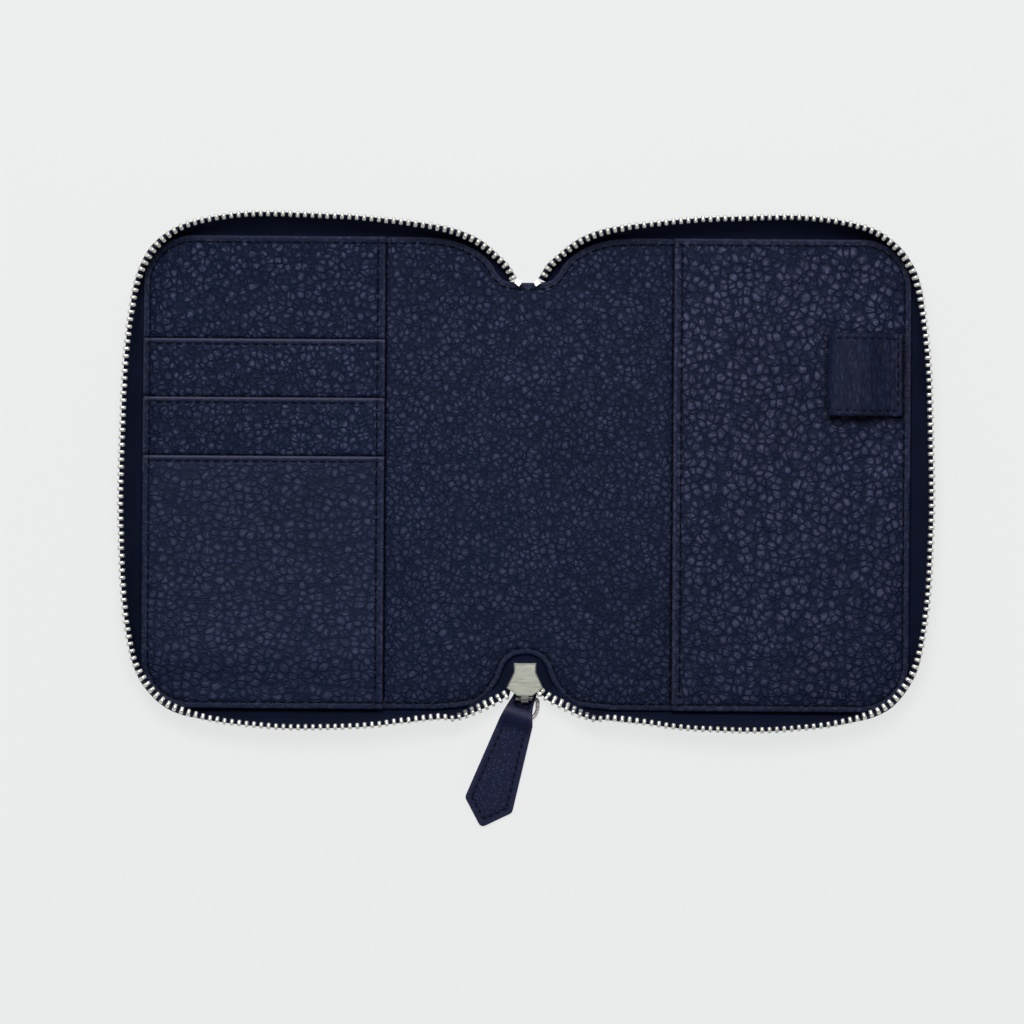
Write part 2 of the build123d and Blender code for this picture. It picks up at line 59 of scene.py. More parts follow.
def span(node):
    lo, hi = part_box(node)
    return [v * 1000 for v in lo], [v * 1000 for v in hi]


# ------------------------------------------------------------ sizes from the CAD frame, mm
HW = span("right_outer_leather")[1][0]
HH = span("right_outer_leather")[1][1]
CR = 14.0
OUT_T = span("spine_outer_leather")[1][2]
LIN0, LIN1 = span("spine_lining")[0][2], span("spine_lining")[1][2]
PANEL0, PANEL1 = span("left_pocket_panel")[0][2], span("left_pocket_panel")[1][2]
PX = span("left_pocket_panel")[1][0]
SLOT_TOP = [span(n)[1][1] for n in ("card_slot_upper", "card_slot_middle", "card_slot_lower")]
SLOT_Z = [span(n)[1][2] for n in ("card_slot_upper", "card_slot_middle", "card_slot_lower")]
PP0, PP1 = span("passport_pocket")[0][2], span("passport_pocket")[1][2]
PPX = span("passport_pocket")[0][0]
PEN0, PEN1 = span("pen_loop")
ZTOP = span("right_zip_teeth")[1][2]
SEAM_Z = (OUT_T + LIN0) / 2
TOOTH = 4.0
PITCH = 2.1
RING0, RING1 = span("pull_ring")
RING_Y = RING1[1] - 0.6
RING_Z = (RING0[2] + RING1[2]) / 2
TAB0, TAB1 = span("pull_tab")
for j in frame["record"]["behaviour"]["joints"]:
    if j["name"] == "pull_tab_swing":
        TAB_X, TAB_Y = j["pos_m"][0] * 1000, j["pos_m"][1] * 1000
TAB_ANGLE = math.radians(18.1)

NOTCH = [(0, 54.5), (3.3, 54.6), (6.5, 55.2), (8.5, 57.0), (10, 59.5), (12, 61.8),
         (14.9, 63.8), (19.2, 65.8), (24.4, 67.0), (30.5, HH)]
ARCH = [(25.5, -HH), (17, -66.6), (12.4, -65.1), (9.6, -62.1), (7.4, -58.7),
        (5.6, -54.4), (3.4, -52.2), (0, -51.4)]
CHAIN = [(3.0, 55.9), (5.0, 59.5), (7.9, 62.3), (11.7, 65.5), (16, 68.0), (21.5, 69.9),
         (28, 71.1), (36.5, 72.1), (48, 73.1), (60, 73.6), (74, 74.0), (83, 73.5),
         (91, 72.4), (97.5, 70.8), (102.3, 68.3), (106.7, 64.3), (109.9, 59.5),
         (111.8, 54.5), (113, 48), (114.1, 39), (114.9, 28), (115.3, 15), (115.7, 0),
         (115.8, -10), (115.5, -20), (115.1, -31), (114.3, -41), (113.1, -49.3),
         (111.5, -55.5), (108.3, -61), (103.5, -66), (97, -69.2), (87.8, -71.3),
         (78, -72.4), (66.5, -73.05), (54.5, -72.9), (44, -72.4), (34, -71.2),
         (25.6, -70.3), (18.5, -69.5), (13, -68), (9, -66.4), (5.9, -64.9)]


# ------------------------------------------------------------ small maths
def smooth(points, per=8):
    out = []
    n = len(points)
    for i in range(n - 1):
        p0, p1, p2, p3 = points[max(i - 1, 0)], points[i], points[i + 1], points[min(i + 2, n - 1)]
        for k in range(per):
            t = k / per
            out.append(tuple(0.5 * (2 * p1[a] + (p2[a] - p0[a]) * t
                                    + (2 * p0[a] - 5 * p1[a] + 4 * p2[a] - p3[a]) * t * t
                                    + (3 * p1[a] - p0[a] - 3 * p2[a] + p3[a]) * t ** 3)
                             for a in (0, 1)))
    out.append(tuple(points[-1]))
    return out


def walk(points, spacing, start=0.0):
    out, need = [], start
    for a, b in zip(points, points[1:]):
        a, b = np.array(a, float), np.array(b, float)
        d = float(np.linalg.norm(b - a))
        while d > 0 and need <= d:
            out.append(tuple(a + (b - a) * need / d))
            need += spacing
        need -= d
    return out


def even(points, spacing):
    """Points at nearly the given spacing that keep both ends."""
    total = sum(math.dist(a, b) for a, b in zip(points, points[1:]))
    n = max(1, round(total / spacing))
    got = walk(points, total / n)[:n]
    return got + [tuple(points[-1])]


def arc(cx, cy, r, a0, a1, n):
    return [(cx + r * math.cos(math.radians(a0 + (a1 - a0) * k / n)),
             cy + r * math.sin(math.radians(a0 + (a1 - a0) * k / n))) for k in range(n + 1)]


def edge_loop(sp=0.9):
    """The leather edge of the right half, from the spine top round to the spine bottom."""
    e = even(smooth(NOTCH, 12), sp)
    e += even([(30.5, HH), (HW - CR, HH)], sp)[1:]
    e += arc(HW - CR, HH - CR, CR, 90, 0, 26)[1:]
    e += even([(HW, HH - CR), (HW, CR - HH)], sp)[1:]
    e += arc(HW - CR, CR - HH, CR, 0, -90, 26)[1:]
    e += even([(HW - CR, -HH), (25.5, -HH)], sp)[1:]
    e += even(smooth(ARCH, 12), sp)[1:]
    return e


EDGE = edge_loop()
EDGE_NP = np.array(EDGE)


def seg_distance(p, line, closed=False):
    """Distance from each point of p (n,2) to a polyline."""
    a = np.asarray(line, float)
    b = np.roll(a, -1, 0) if closed else a[1:]
    a = a if closed else a[:-1]
    best = np.full(len(p), 1e9)
    for lo in range(0, len(p), 4000):
        q = p[lo:lo + 4000, None, :]
        ab = b - a
        t = np.clip(((q - a) * ab).sum(-1) / np.maximum((ab * ab).sum(-1), 1e-12), 0, 1)
        d = q - (a + t[..., None] * ab)
        best[lo:lo + 4000] = np.sqrt((d * d).sum(-1)).min(1)
    return best


def inset(loop, d):
    """A closed loop moved inwards by d (counter-clockwise or clockwise alike)."""
    p = np.array(loop, float)
    area = 0.5 * (p[:, 0] * np.roll(p[:, 1], -1) - np.roll(p[:, 0], -1) * p[:, 1]).sum()
    t = np.roll(p, -1, 0) - np.roll(p, 1, 0)
    t /= np.maximum(np.linalg.norm(t, axis=1, keepdims=True), 1e-9)
    n = np.stack([-t[:, 1], t[:, 0]], 1) * (1 if area > 0 else -1)
    # corners need a longer step
    e0 = p - np.roll(p, 1, 0)
    e1 = np.roll(p, -1, 0) - p
    e0 /= np.maximum(np.linalg.norm(e0, axis=1, keepdims=True), 1e-9)
    e1 /= np.maximum(np.linalg.norm(e1, axis=1, keepdims=True), 1e-9)
    c = np.sqrt(np.clip((1 + (e0 * e1).sum(1)) / 2, 0.3, 1))
    q = p + n * (d / c)[:, None]
    keep = seg_distance(q, p, True) > abs(d) * 0.93
    return q, keep


def wobble(x, y, size, amount, seed=0.0):
    """Smooth noise over the plane, in mm."""
    return np.array([noise.noise(Vector((a / size + seed, b / size - seed, seed * 1.7))) * amount
                     for a, b in zip(np.atleast_1d(x), np.atleast_1d(y))])


def rise(t):
    t = np.clip(t, 0, 1)
    return t * t * (3 - 2 * t)


def mesh_object(name, verts, faces, material, uv=None, sharp=False):
    me = bpy.data.meshes.new(name)
    me.from_pydata([tuple(v) for v in np.asarray(verts) * MM], [], faces)
    me.validate()
    me.update()
    if uv is not None:
        layer = me.uv_layers.new(name="UVMap")
        idx = np.empty(len(me.loops), dtype=np.int32)
        me.loops.foreach_get("vertex_index", idx)
        layer.data.foreach_set("uv", np.asarray(uv, dtype=np.float32)[idx].ravel())
    me.polygons.foreach_set("use_smooth", [not sharp] * len(me.polygons))
    ob = bpy.data.objects.new(name, me)
    bpy.context.scene.collection.objects.link(ob)
    if material is not None:
        me.materials.append(material)
    return ob


def in_loop(p, loop):
    """Which points are inside a closed loop."""
    a = np.asarray(loop, float)
    b = np.roll(a, -1, 0)
    inside = np.zeros(len(p), bool)
    for (x0, y0), (x1, y1) in zip(a, b):
        if y0 == y1:
            continue
        hit = (p[:, 1] > min(y0, y1)) & (p[:, 1] <= max(y0, y1))
        xs = x0 + (p[:, 1] - y0) * (x1 - x0) / (y1 - y0)
        inside ^= hit & (p[:, 0] < xs)
    return inside


def fill(loop, rings, spacing, extra=(), coarse=None):
    """Triangles inside a loop, with rings of points at the given insets and a fine grid between."""
    loop = [tuple(map(float, q)) for q in loop]
    pts = list(loop)
    edges = [(i, (i + 1) % len(loop)) for i in range(len(loop))]
    for r in rings:
        q, keep = inset(loop, r)
        pts += [tuple(v) for v, k in zip(q, keep) if k]
    a = np.array(loop)
    lo, hi = a.min(0), a.max(0)
    dy = spacing * 0.866
    grid = []
    for j, y in enumerate(np.arange(lo[1], hi[1], dy)):
        for x in np.arange(lo[0] + (j % 2) * spacing / 2, hi[0], spacing):
            grid.append((x, y))
    grid = np.array(grid)
    if coarse is not None:
        keep = ~coarse(grid) | ((np.round(grid[:, 0] / spacing).astype(int) % 3 == 0)
                                & (np.round(grid[:, 1] / dy).astype(int) % 3 == 0))
        grid = grid[keep]
    grid = grid[in_loop(grid, loop)]
    clear = (max(rings) if rings else 0) + spacing * 0.5
    grid = grid[seg_distance(grid, loop, True) > clear]
    pts += [tuple(v) for v in grid]
    for e in extra:
        pts += [tuple(v) for v in e]
    res = geometry.delaunay_2d_cdt([Vector(q) for q in pts], edges, [], 1, 1e-5)
    return np.array([tuple(v) for v in res[0]]), [tuple(f) for f in res[2]]


def sheet(name, loop, height, thick, material, rings=(0.12, 0.3, 0.6, 1.1, 1.5, 1.9, 2.3, 3.0),
          spacing=1.3, round_r=0.45, extra=(), coarse=None, under=None, bands=(), columns=(), marks=None):
    """A leather layer: a crowned top over a flat underside, with rounded edges.
    height(x, y, d) gives the top, d the distance to the edge."""
    box = np.array(loop)
    extra = list(extra)
    for lo, hi in bands:
        rows = np.array([(x, y) for y in np.arange(lo, hi, 0.16) for x in np.arange(box[:, 0].min(), box[:, 0].max(), 0.8)])
        rows = rows[in_loop(rows, loop)]
        extra.append(rows[seg_distance(rows, loop, True) > 0.2])
    for lo, hi in columns:
        rows = np.array([(x, y) for x in np.arange(lo, hi, 0.16) for y in np.arange(box[:, 1].min(), box[:, 1].max(), 0.8)])
        rows = rows[in_loop(rows, loop)]
        extra.append(rows[seg_distance(rows, loop, True) > 0.2])
    v, f = fill(loop, rings, spacing, extra, coarse)
    d = seg_distance(v, loop, True)
    top = height(v[:, 0], v[:, 1], d)
    r = round_r
    drop = np.where(d < r, r - np.sqrt(np.maximum(r * r - (r - np.minimum(d, r)) ** 2, 0)), 0)
    low = top - thick if under is None else under(v[:, 0], v[:, 1], d)
    low = np.minimum(low, top - drop - 0.05)
    n = len(v)
    verts = np.vstack([np.column_stack([v, top - drop]), np.column_stack([v, low])])
    # which way do the triangles turn
    a, b, c = (v[f[0][k]] for k in range(3))
    up = (b[0] - a[0]) * (c[1] - a[1]) - (b[1] - a[1]) * (c[0] - a[0]) > 0
    tris = [t if up else t[::-1] for t in f]
    faces = list(tris) + [tuple(i + n for i in t[::-1]) for t in tris]
    # the border edges of the triangles join top and bottom
    count = {}
    for t in tris:
        for i in range(len(t)):
            e = (t[i], t[(i + 1) % len(t)])
            count[e] = count.get(e, 0) + 1
    for (i, j) in list(count):
        if (j, i) not in count:
            faces.append((j, i, i + n, j + n))
    ob = mesh_object(name, verts, faces, material)
    if marks is not None and len(ob.data.vertices) == 2 * n:
        for key, val in marks(v[:, 0], v[:, 1]).items():
            at = ob.data.attributes.new(key, "FLOAT", "POINT")
            at.data.foreach_set("value", np.concatenate([np.clip(val, 0, 1), np.zeros(n)]).astype(np.float32))
    return ob


def bump_at(d, at, wide):
    return np.exp(-((d - at) / wide) ** 2)


# ------------------------------------------------------------ materials
def node_tree(name):
    m = bpy.data.materials.new(name)
    m.use_nodes = True
    nt = m.node_tree
    for n in list(nt.nodes):
        if n.type not in ("OUTPUT_MATERIAL", "BSDF_PRINCIPLED"):
            nt.nodes.remove(n)
    return m, nt, nt.nodes["Principled BSDF"]


class Net:
    def __init__(self, nt):
        self.nt = nt
        self.n = nt.nodes

    def put(self, socket, value):
        if hasattr(value, "is_output") or isinstance(value, bpy.types.NodeSocket):
            self.nt.links.new(value, socket)
        else:
            socket.default_value = value

    def coords(self, scale=(1, 1, 1), rot=0.0, kind="Object", shift=(0, 0, 0)):
        tc = self.n.new("ShaderNodeTexCoord")
        mp = self.n.new("ShaderNodeMapping")
        mp.inputs["Scale"].default_value = scale
        mp.inputs["Rotation"].default_value = (0, 0, rot)
        mp.inputs["Location"].default_value = shift
        self.nt.links.new(tc.outputs[kind], mp.inputs["Vector"])
        return mp.outputs[0]

    def noise(self, vec, scale, detail=3, rough=0.55, color=False, distortion=0.0):
        t = self.n.new("ShaderNodeTexNoise")
        self.put(t.inputs["Vector"], vec)
        t.inputs["Scale"].default_value = scale
        t.inputs["Detail"].default_value = detail
        t.inputs["Roughness"].default_value = rough
        t.inputs["Distortion"].default_value = distortion
        return t.outputs["Color" if color else "Fac"]

    def voronoi(self, vec, scale, feature="DISTANCE_TO_EDGE", rnd=1.0, out="Distance"):
        t = self.n.new("ShaderNodeTexVoronoi")
        t.feature = feature
        self.put(t.inputs["Vector"], vec)
        t.inputs["Scale"].default_value = scale
        t.inputs["Randomness"].default_value = rnd
        return t.outputs[out]

    def mark(self, name):
        """A value painted on the mesh's points; 0 where the mesh has none."""
        t = self.n.new("ShaderNodeAttribute")
        t.attribute_type = "GEOMETRY"
        t.attribute_name = name
        return t.outputs["Fac"]

    def math(self, op, a, b=0.0, c=None, clamp=False):
        t = self.n.new("ShaderNodeMath")
        t.operation = op
        t.use_clamp = clamp
        self.put(t.inputs[0], a)
        self.put(t.inputs[1], b)
        if c is not None:
            self.put(t.inputs[2], c)
        return t.outputs[0]

    def vmath(self, op, a, b=(0, 0, 0), scale=None):
        t = self.n.new("ShaderNodeVectorMath")
        t.operation = op
        self.put(t.inputs[0], a)
        if op != "SCALE":
            self.put(t.inputs[1], b)
        if scale is not None:
            self.put(t.inputs["Scale"], scale)
        return t.outputs[0]

    def ramp(self, fac, stops, mode="LINEAR"):
        t = self.n.new("ShaderNodeValToRGB")
        t.color_ramp.interpolation = mode
        el = t.color_ramp.elements
        while len(el) < len(stops):
            el.new(0.5)
        for e, (p, c) in zip(el, stops):
            e.position = p
            e.color = c if len(c) == 4 else (*c, 1)
        self.put(t.inputs[0], fac)
        return t.outputs[0]

    def curve(self, v, lo, hi, out_lo=0.0, out_hi=1.0, kind="SMOOTHSTEP"):
        t = self.n.new("ShaderNodeMapRange")
        t.interpolation_type = kind
        self.put(t.inputs[0], v)
        t.inputs[1].default_value = lo
        t.inputs[2].default_value = hi
        t.inputs[3].default_value = out_lo
        t.inputs[4].default_value = out_hi
        return t.outputs[0]

    def mix(self, fac, a, b, kind="MIX"):
        t = self.n.new("ShaderNodeMix")
        t.data_type = "RGBA"
        t.blend_type = kind
        self.put(t.inputs[0], fac)
        self.put(t.inputs[6], a if not isinstance(a, tuple) else (*a, 1) if len(a) == 3 else a)
        self.put(t.inputs[7], b if not isinstance(b, tuple) else (*b, 1) if len(b) == 3 else b)
        return t.outputs[2]

    def bump(self, height, distance, strength=1.0, normal=None):
        t = self.n.new("ShaderNodeBump")
        t.inputs["Distance"].default_value = distance
        t.inputs["Strength"].default_value = strength
        self.put(t.inputs["Height"], height)
        if normal is not None:
            self.put(t.inputs["Normal"], normal)
        return t.outputs[0]


def leather(name, cell=2.1, depth=0.34, low=(0.0008, 0.0046, 0.0205), top=(0.043, 0.050, 0.108),
            rough=0.46, creases=1.0, soft=0.0, seed=0.0, angle=0.25, spec=0.10, stretch=1.0, strength=1.0,
            long=1.0, painted_falloff=1.0, even_tone=0.0):
    """Milled leather: rounded pebbles parted by narrow dark valleys, longer creases, fine pores."""
    m, nt, bsdf = node_tree(name)
    g = Net(nt)
    p = g.coords((1000 / stretch, 1000 / long, 260), rot=angle, shift=(seed, seed * 0.37, 0.2 * seed))
    warp = g.vmath("SUBTRACT", g.noise(p, 0.16, 2, 0.5, True), (0.5, 0.5, 0.5))
    warp2 = g.vmath("SUBTRACT", g.noise(p, 0.7, 2, 0.5, True), (0.5, 0.5, 0.5))
    q = g.vmath("ADD", p, g.vmath("SCALE", warp, scale=2.6))
    q = g.vmath("ADD", q, g.vmath("SCALE", warp2, scale=0.75))
    e1 = g.voronoi(q, 1.0 / cell, rnd=0.86)
    f1 = g.voronoi(q, 1.0 / cell, "F1", 0.86)
    own = g.voronoi(q, 1.0 / cell, "F1", 0.86, "Color")
    e2 = g.voronoi(g.vmath("ADD", q, (31.0, 17.0, 5.0)), 1.0 / (cell * 0.55), rnd=1.0)
    e3 = g.voronoi(g.vmath("ADD", q, (7.0, 43.0, 2.0)), 1.0 / (cell * 2.4), rnd=1.0)
    keep = g.curve(g.noise(p, 0.33, 2, 0.6), 0.30, 0.58, 0.72, 1.0)
    valley = g.math("MULTIPLY", g.math("SUBTRACT", 1.0, g.curve(e1, 0.0, 0.20 + soft * 0.06)), keep)
    fold = g.math("MULTIPLY", g.math("SUBTRACT", 1.0, g.curve(e2, 0.0, 0.14)),
                  g.curve(g.noise(p, 0.5, 2, 0.6), 0.40, 0.60, 0.05, 0.75))
    crease = g.math("MULTIPLY", g.math("SUBTRACT", 1.0, g.curve(e3, 0.0, 0.075)),
                    g.curve(g.noise(p, 0.12, 2, 0.6), 0.38, 0.58, 0.15, min(1.0, 0.9 * creases)))
    low_part = g.math("MAXIMUM", valley, g.math("MAXIMUM", fold, crease))
    dome = g.math("SUBTRACT", 1.0, g.curve(f1, 0.05, 0.78))
    fine = g.noise(p, 4.2, 3, 0.6)
    pores = g.noise(p, 1.5, 3, 0.65)
    h = g.math("MULTIPLY", g.math("SUBTRACT", 1.0, low_part), 0.72)
    h = g.math("ADD", h, g.math("MULTIPLY", dome, 0.42))
    h = g.math("ADD", h, g.math("MULTIPLY", pores, 0.20))
    h = g.math("ADD", h, g.math("MULTIPLY", fine, 0.05))
    # painted highlight on the pebble tops and painted shade in the valleys and creases, each pebble a little different
    sep = g.n.new("ShaderNodeSeparateColor")
    g.put(sep.inputs[0], own)
    each = g.curve(sep.outputs[0], 0.0, 1.0, 0.78, 1.10, "LINEAR")
    tone = g.math("MULTIPLY", g.curve(f1, 0.12, 0.72, 1.0, 0.22), each)
    tone = g.math("ADD", g.math("MULTIPLY", tone, 0.82), g.math("MULTIPLY", g.math("SUBTRACT", pores, 0.5), 0.55))
    tone = g.math("MULTIPLY", tone, g.math("SUBTRACT", 1.0, g.math("MULTIPLY", low_part, 0.9)), clamp=True)
    if even_tone:
        tone = g.math("ADD", g.math("MULTIPLY", tone, 1.0 - even_tone), 0.30 * even_tone)
    if painted_falloff != 1.0:
        # painted light falloff: darker towards the lower end than the upper
        where = g.n.new("ShaderNodeSeparateXYZ")
        g.put(where.inputs[0], g.coords((1000, 1000, 1000)))
        tone = g.math("MULTIPLY", tone, g.curve(where.outputs[1], -62.0, 40.0, painted_falloff, 1.0, "LINEAR"))
    mid = tuple(0.62 * a + 0.38 * b for a, b in zip(low, top))
    # pressed borders lose their grain; painted shade darkens the gaps under turned edges and the grooves; painted
    # highlight lightens the turned edges
    press, painted_shade, painted_highlight = g.mark("press"), g.mark("painted_shade"), g.mark("painted_highlight")
    flat = g.math("SUBTRACT", 1.0, g.math("MULTIPLY", press, 0.62))
    h = g.math("MULTIPLY", h, flat)
    tone = g.math("ADD", g.math("MULTIPLY", tone, flat), g.math("MULTIPLY", press, 0.09), clamp=True)
    col = g.ramp(tone, [(0.0, low), (0.42, mid), (1.0, top)])
    cloud = g.curve(g.noise(p, 0.022, 3, 0.55), 0.3, 0.7, 0.88, 1.12, "LINEAR")
    col = g.mix(1.0, col, g.ramp(g.math("MULTIPLY", cloud, 0.5), [(0.0, (0, 0, 0)), (1.0, (2, 2, 2))]), "MULTIPLY")
    col = g.mix(painted_highlight, col, (0.092, 0.090, 0.150))
    col = g.mix(painted_shade, col, (0.0003, 0.0005, 0.0022))
    nt.links.new(col, bsdf.inputs["Base Color"])
    r = g.curve(tone, 0.0, 0.8, rough + 0.14, rough - 0.04, "LINEAR")
    r = g.math("ADD", r, g.math("MULTIPLY", g.math("SUBTRACT", fine, 0.5), 0.10))
    nt.links.new(r, bsdf.inputs["Roughness"])
    bsdf.inputs["Specular IOR Level"].default_value = spec
    nt.links.new(g.bump(h, depth * MM, strength), bsdf.inputs["Normal"])
    return m


def smooth_leather(name, col=(0.0120, 0.0160, 0.046), rough=0.5, grain=0.10, spec=0.1):
    """Pressed or turned leather at an edge: fine grain, a little worn."""
    m, nt, bsdf = node_tree(name)
    g = Net(nt)
    p = g.coords((1000, 1000, 1000))
    q = g.vmath("ADD", p, g.vmath("SCALE", g.noise(p, 0.5, 2, 0.5, True), scale=0.8))
    e = g.voronoi(q, 1.0 / 0.75)
    v = g.math("SUBTRACT", 1.0, g.curve(e, 0.0, 0.25))
    v = g.math("MULTIPLY", v, g.curve(g.noise(p, 0.35, 2), 0.4, 0.65, 0.1, 0.8))
    fine = g.noise(p, 5.0, 3, 0.6)
    h = g.math("SUBTRACT", g.math("MULTIPLY", fine, 0.5), v)
    wear = g.curve(g.noise(p, 0.09, 4, 0.6), 0.35, 0.7, 0.8, 1.25, "LINEAR")
    c = g.mix(g.math("MULTIPLY", v, 0.6), col, tuple(a * 0.45 for a in col))
    c = g.mix(1.0, c, g.ramp(g.math("MULTIPLY", wear, 0.5), [(0.0, (0, 0, 0)), (1.0, (2, 2, 2))]), "MULTIPLY")
    nt.links.new(c, bsdf.inputs["Base Color"])
    nt.links.new(g.curve(fine, 0.3, 0.7, rough - 0.06, rough + 0.1, "LINEAR"), bsdf.inputs["Roughness"])
    bsdf.inputs["Specular IOR Level"].default_value = spec
    nt.links.new(g.bump(h, grain * MM), bsdf.inputs["Normal"])
    return m


def tape_material(name):
    """Woven zip tape: herringbone-like rows along the tape, read from its own unrolled length and width."""
    m, nt, bsdf = node_tree(name)
    g = Net(nt)
    p = g.coords((1, 1, 1), kind="UV")
    sep = g.n.new("ShaderNodeSeparateXYZ")
    g.put(sep.inputs[0], p)
    u, v = sep.outputs[0], sep.outputs[1]
    row = g.math("SINE", g.math("MULTIPLY", v, 2 * math.pi / 0.42))
    side = g.math("SIGN", g.math("SINE", g.math("MULTIPLY", v, 2 * math.pi / 1.68)))
    skew = g.math("MULTIPLY", g.math("PINGPONG", v, 0.84), 1.0)
    twill = g.math("SINE", g.math("MULTIPLY", g.math("ADD", u, skew), 2 * math.pi / 0.38))
    weave = g.math("MULTIPLY", g.math("ADD", row, 1.0), g.math("ADD", twill, 1.0))
    weave = g.math("MULTIPLY", weave, 0.25)
    fuzz = g.noise(g.coords((1000, 1000, 1000)), 3.0, 3, 0.6)
    h = g.math("ADD", weave, g.math("MULTIPLY", fuzz, 0.3))
    patch = g.noise(g.coords((1000, 1000, 1000)), 0.08, 2, 0.5)
    c = g.ramp(g.math("ADD", g.math("MULTIPLY", weave, 0.6), g.math("MULTIPLY", patch, 0.4)),
               [(0.1, (0.0026, 0.0050, 0.0155)), (0.9, (0.0108, 0.0148, 0.0410))])
    nt.links.new(c, bsdf.inputs["Base Color"])
    nt.links.new(g.curve(fuzz, 0.3, 0.7, 0.72, 0.92, "LINEAR"), bsdf.inputs["Roughness"])
    bsdf.inputs["Specular IOR Level"].default_value = 0.06
    nt.links.new(g.bump(h, 0.09 * MM), bsdf.inputs["Normal"])
    return m


def metal(name, col, rough, scratch=0.12, tarnish=(0.42, 0.40, 0.35), metallic=1.0):
    m, nt, bsdf = node_tree(name)
    g = Net(nt)
    p = g.coords((1000, 1000, 1000))
    brush = g.noise(g.coords((300, 3200, 3200), rot=0.2), 1.0, 3, 0.6)
    spots = g.noise(p, 0.5, 4, 0.6)
    fine = g.noise(p, 6.0, 2, 0.6)
    c = g.mix(g.curve(spots, 0.5, 0.8, 0.0, 0.35), col, tarnish)
    nt.links.new(c, bsdf.inputs["Base Color"])
    bsdf.inputs["Metallic"].default_value = metallic
    r = g.math("ADD", g.curve(brush, 0.3, 0.7, rough - 0.06, rough + 0.1, "LINEAR"),
               g.math("MULTIPLY", g.math("SUBTRACT", spots, 0.5), 0.1))
    nt.links.new(r, bsdf.inputs["Roughness"])
    h = g.math("ADD", g.math("MULTIPLY", brush, scratch), g.math("MULTIPLY", fine, scratch * 0.6))
    nt.links.new(g.bump(h, 0.03 * MM), bsdf.inputs["Normal"])
    return m


def thread_material(name, col=(0.0014, 0.0026, 0.0100)):
    m, nt, bsdf = node_tree(name)
    g = Net(nt)
    p = g.coords((1, 1, 1), kind="UV")
    sep = g.n.new("ShaderNodeSeparateXYZ")
    g.put(sep.inputs[0], p)
    twist = g.math("SINE", g.math("MULTIPLY", g.math("ADD", sep.outputs[0], g.math("MULTIPLY", sep.outputs[1], 0.55)),
                                  2 * math.pi / 0.55))
    fuzz = g.noise(g.coords((1000, 1000, 1000)), 5.0, 2, 0.6)
    h = g.math("ADD", g.math("MULTIPLY", twist, 0.5), g.math("MULTIPLY", fuzz, 0.4))
    c = g.mix(g.curve(h, -0.4, 0.8), tuple(a * 0.5 for a in col), col)
    nt.links.new(c, bsdf.inputs["Base Color"])
    bsdf.inputs["Roughness"].default_value = 0.65
    bsdf.inputs["Specular IOR Level"].default_value = 0.06
    nt.links.new(g.bump(h, 0.06 * MM), bsdf.inputs["Normal"])
    return m


M_PANEL = leather("panel_leather", cell=2.05, seed=3.0, angle=0.5)
M_SLOT = leather("slot_leather", cell=1.95, seed=41.0, angle=1.1)
M_LOW = leather("lower_slot_leather", cell=2.05, depth=0.27, soft=0.4, seed=77.0, angle=0.15, creases=1.3, stretch=1.2, even_tone=0.2)
# painted light falloff on the centre leather: darker towards the lower end
M_CENTRE = leather("centre_leather", cell=1.9, depth=0.29, seed=130.0, angle=0.9, creases=1.3, painted_falloff=0.80, even_tone=0.08)
# paler pebble tops and a painted falloff on the passport leather: painted highlight for the stronger light on the right
# side, dimmer towards the lower end
M_RIGHT = leather("passport_leather", cell=2.25, depth=0.37, seed=210.0, angle=0.3, top=(0.066, 0.070, 0.138), painted_falloff=0.66)
M_LOOP = leather("loop_leather", cell=1.25, depth=0.12, soft=0.9, seed=300.0, angle=0.0, long=2.6, even_tone=0.45,
                 low=(0.0010, 0.0034, 0.0150), top=(0.0270, 0.0320, 0.078))
M_OUTER = leather("outer_leather", cell=2.2, depth=0.34, seed=400.0, angle=0.7)
M_TAB = leather("tab_leather", cell=1.15, depth=0.10, soft=0.9, seed=500.0, angle=0.1,
                low=(0.0020, 0.0040, 0.0215), top=(0.0290, 0.0350, 0.084), creases=0.7, even_tone=0.45)
M_EDGE = smooth_leather("edge_leather")
M_TAPE = tape_material("zip_tape")
M_TEETH = metal("zip_teeth", (0.66, 0.655, 0.60), 0.30, metallic=0.72)
M_SLIDER = metal("slider_metal", (0.40, 0.415, 0.355), 0.34, 0.05, tarnish=(0.36, 0.365, 0.31))
M_RING = metal("ring_metal", (0.62, 0.575, 0.56), 0.24, 0.06, metallic=0.8)
M_THREAD = thread_material("tonal_thread")

PIECES = []


def left(points):
    return [(-x, y) for x, y in points]


def half_region(x0, x1, side=1, sp=0.9):
    """The part of a half between two x values, as a closed loop."""
    pts = [q for q in EDGE if x0 <= q[0] <= x1]
    # points where the outline crosses x0 and x1
    def cross(x, upper):
        best = None
        for a, b in zip(EDGE, EDGE[1:]):
            if (a[0] - x) * (b[0] - x) <= 0 and a[0] != b[0]:
                y = a[1] + (b[1] - a[1]) * (x - a[0]) / (b[0] - a[0])
                if (y > 0) == upper:
                    best = (x, y)
        return best
    loop = list(pts)
    if x1 >= HW:
        a, b = cross(x0, False) or EDGE[-1], cross(x0, True) or EDGE[0]
        if math.dist(loop[-1], a) > 0.05:
            loop.append(a)
        loop += even([a, b], sp)[1:-1]
        if math.dist(loop[0], b) > 0.05:
            loop.append(b)
    else:
        top = [q for q in pts if q[1] > 0]
        low = [q for q in pts if q[1] <= 0]
        t0, t1, l0, l1 = cross(x0, True), cross(x1, True), cross(x0, False), cross(x1, False)
        t0 = t0 or EDGE[0]
        l0 = l0 or EDGE[-1]
        loop = [t0] + [q for q in top if x0 + 0.05 < q[0] < x1 - 0.05] + [t1]
        loop += even([t1, l1], sp)[1:-1] + [l1]
        loop += [q for q in low if x0 + 0.05 < q[0] < x1 - 0.05] + [l0]
        loop += even([l0, t0], sp)[1:-1]
    return left(loop) if side < 0 else loop


def groove(d, at, deep, wide):
    return -deep * np.exp(-((d - at) / wide) ** 2)


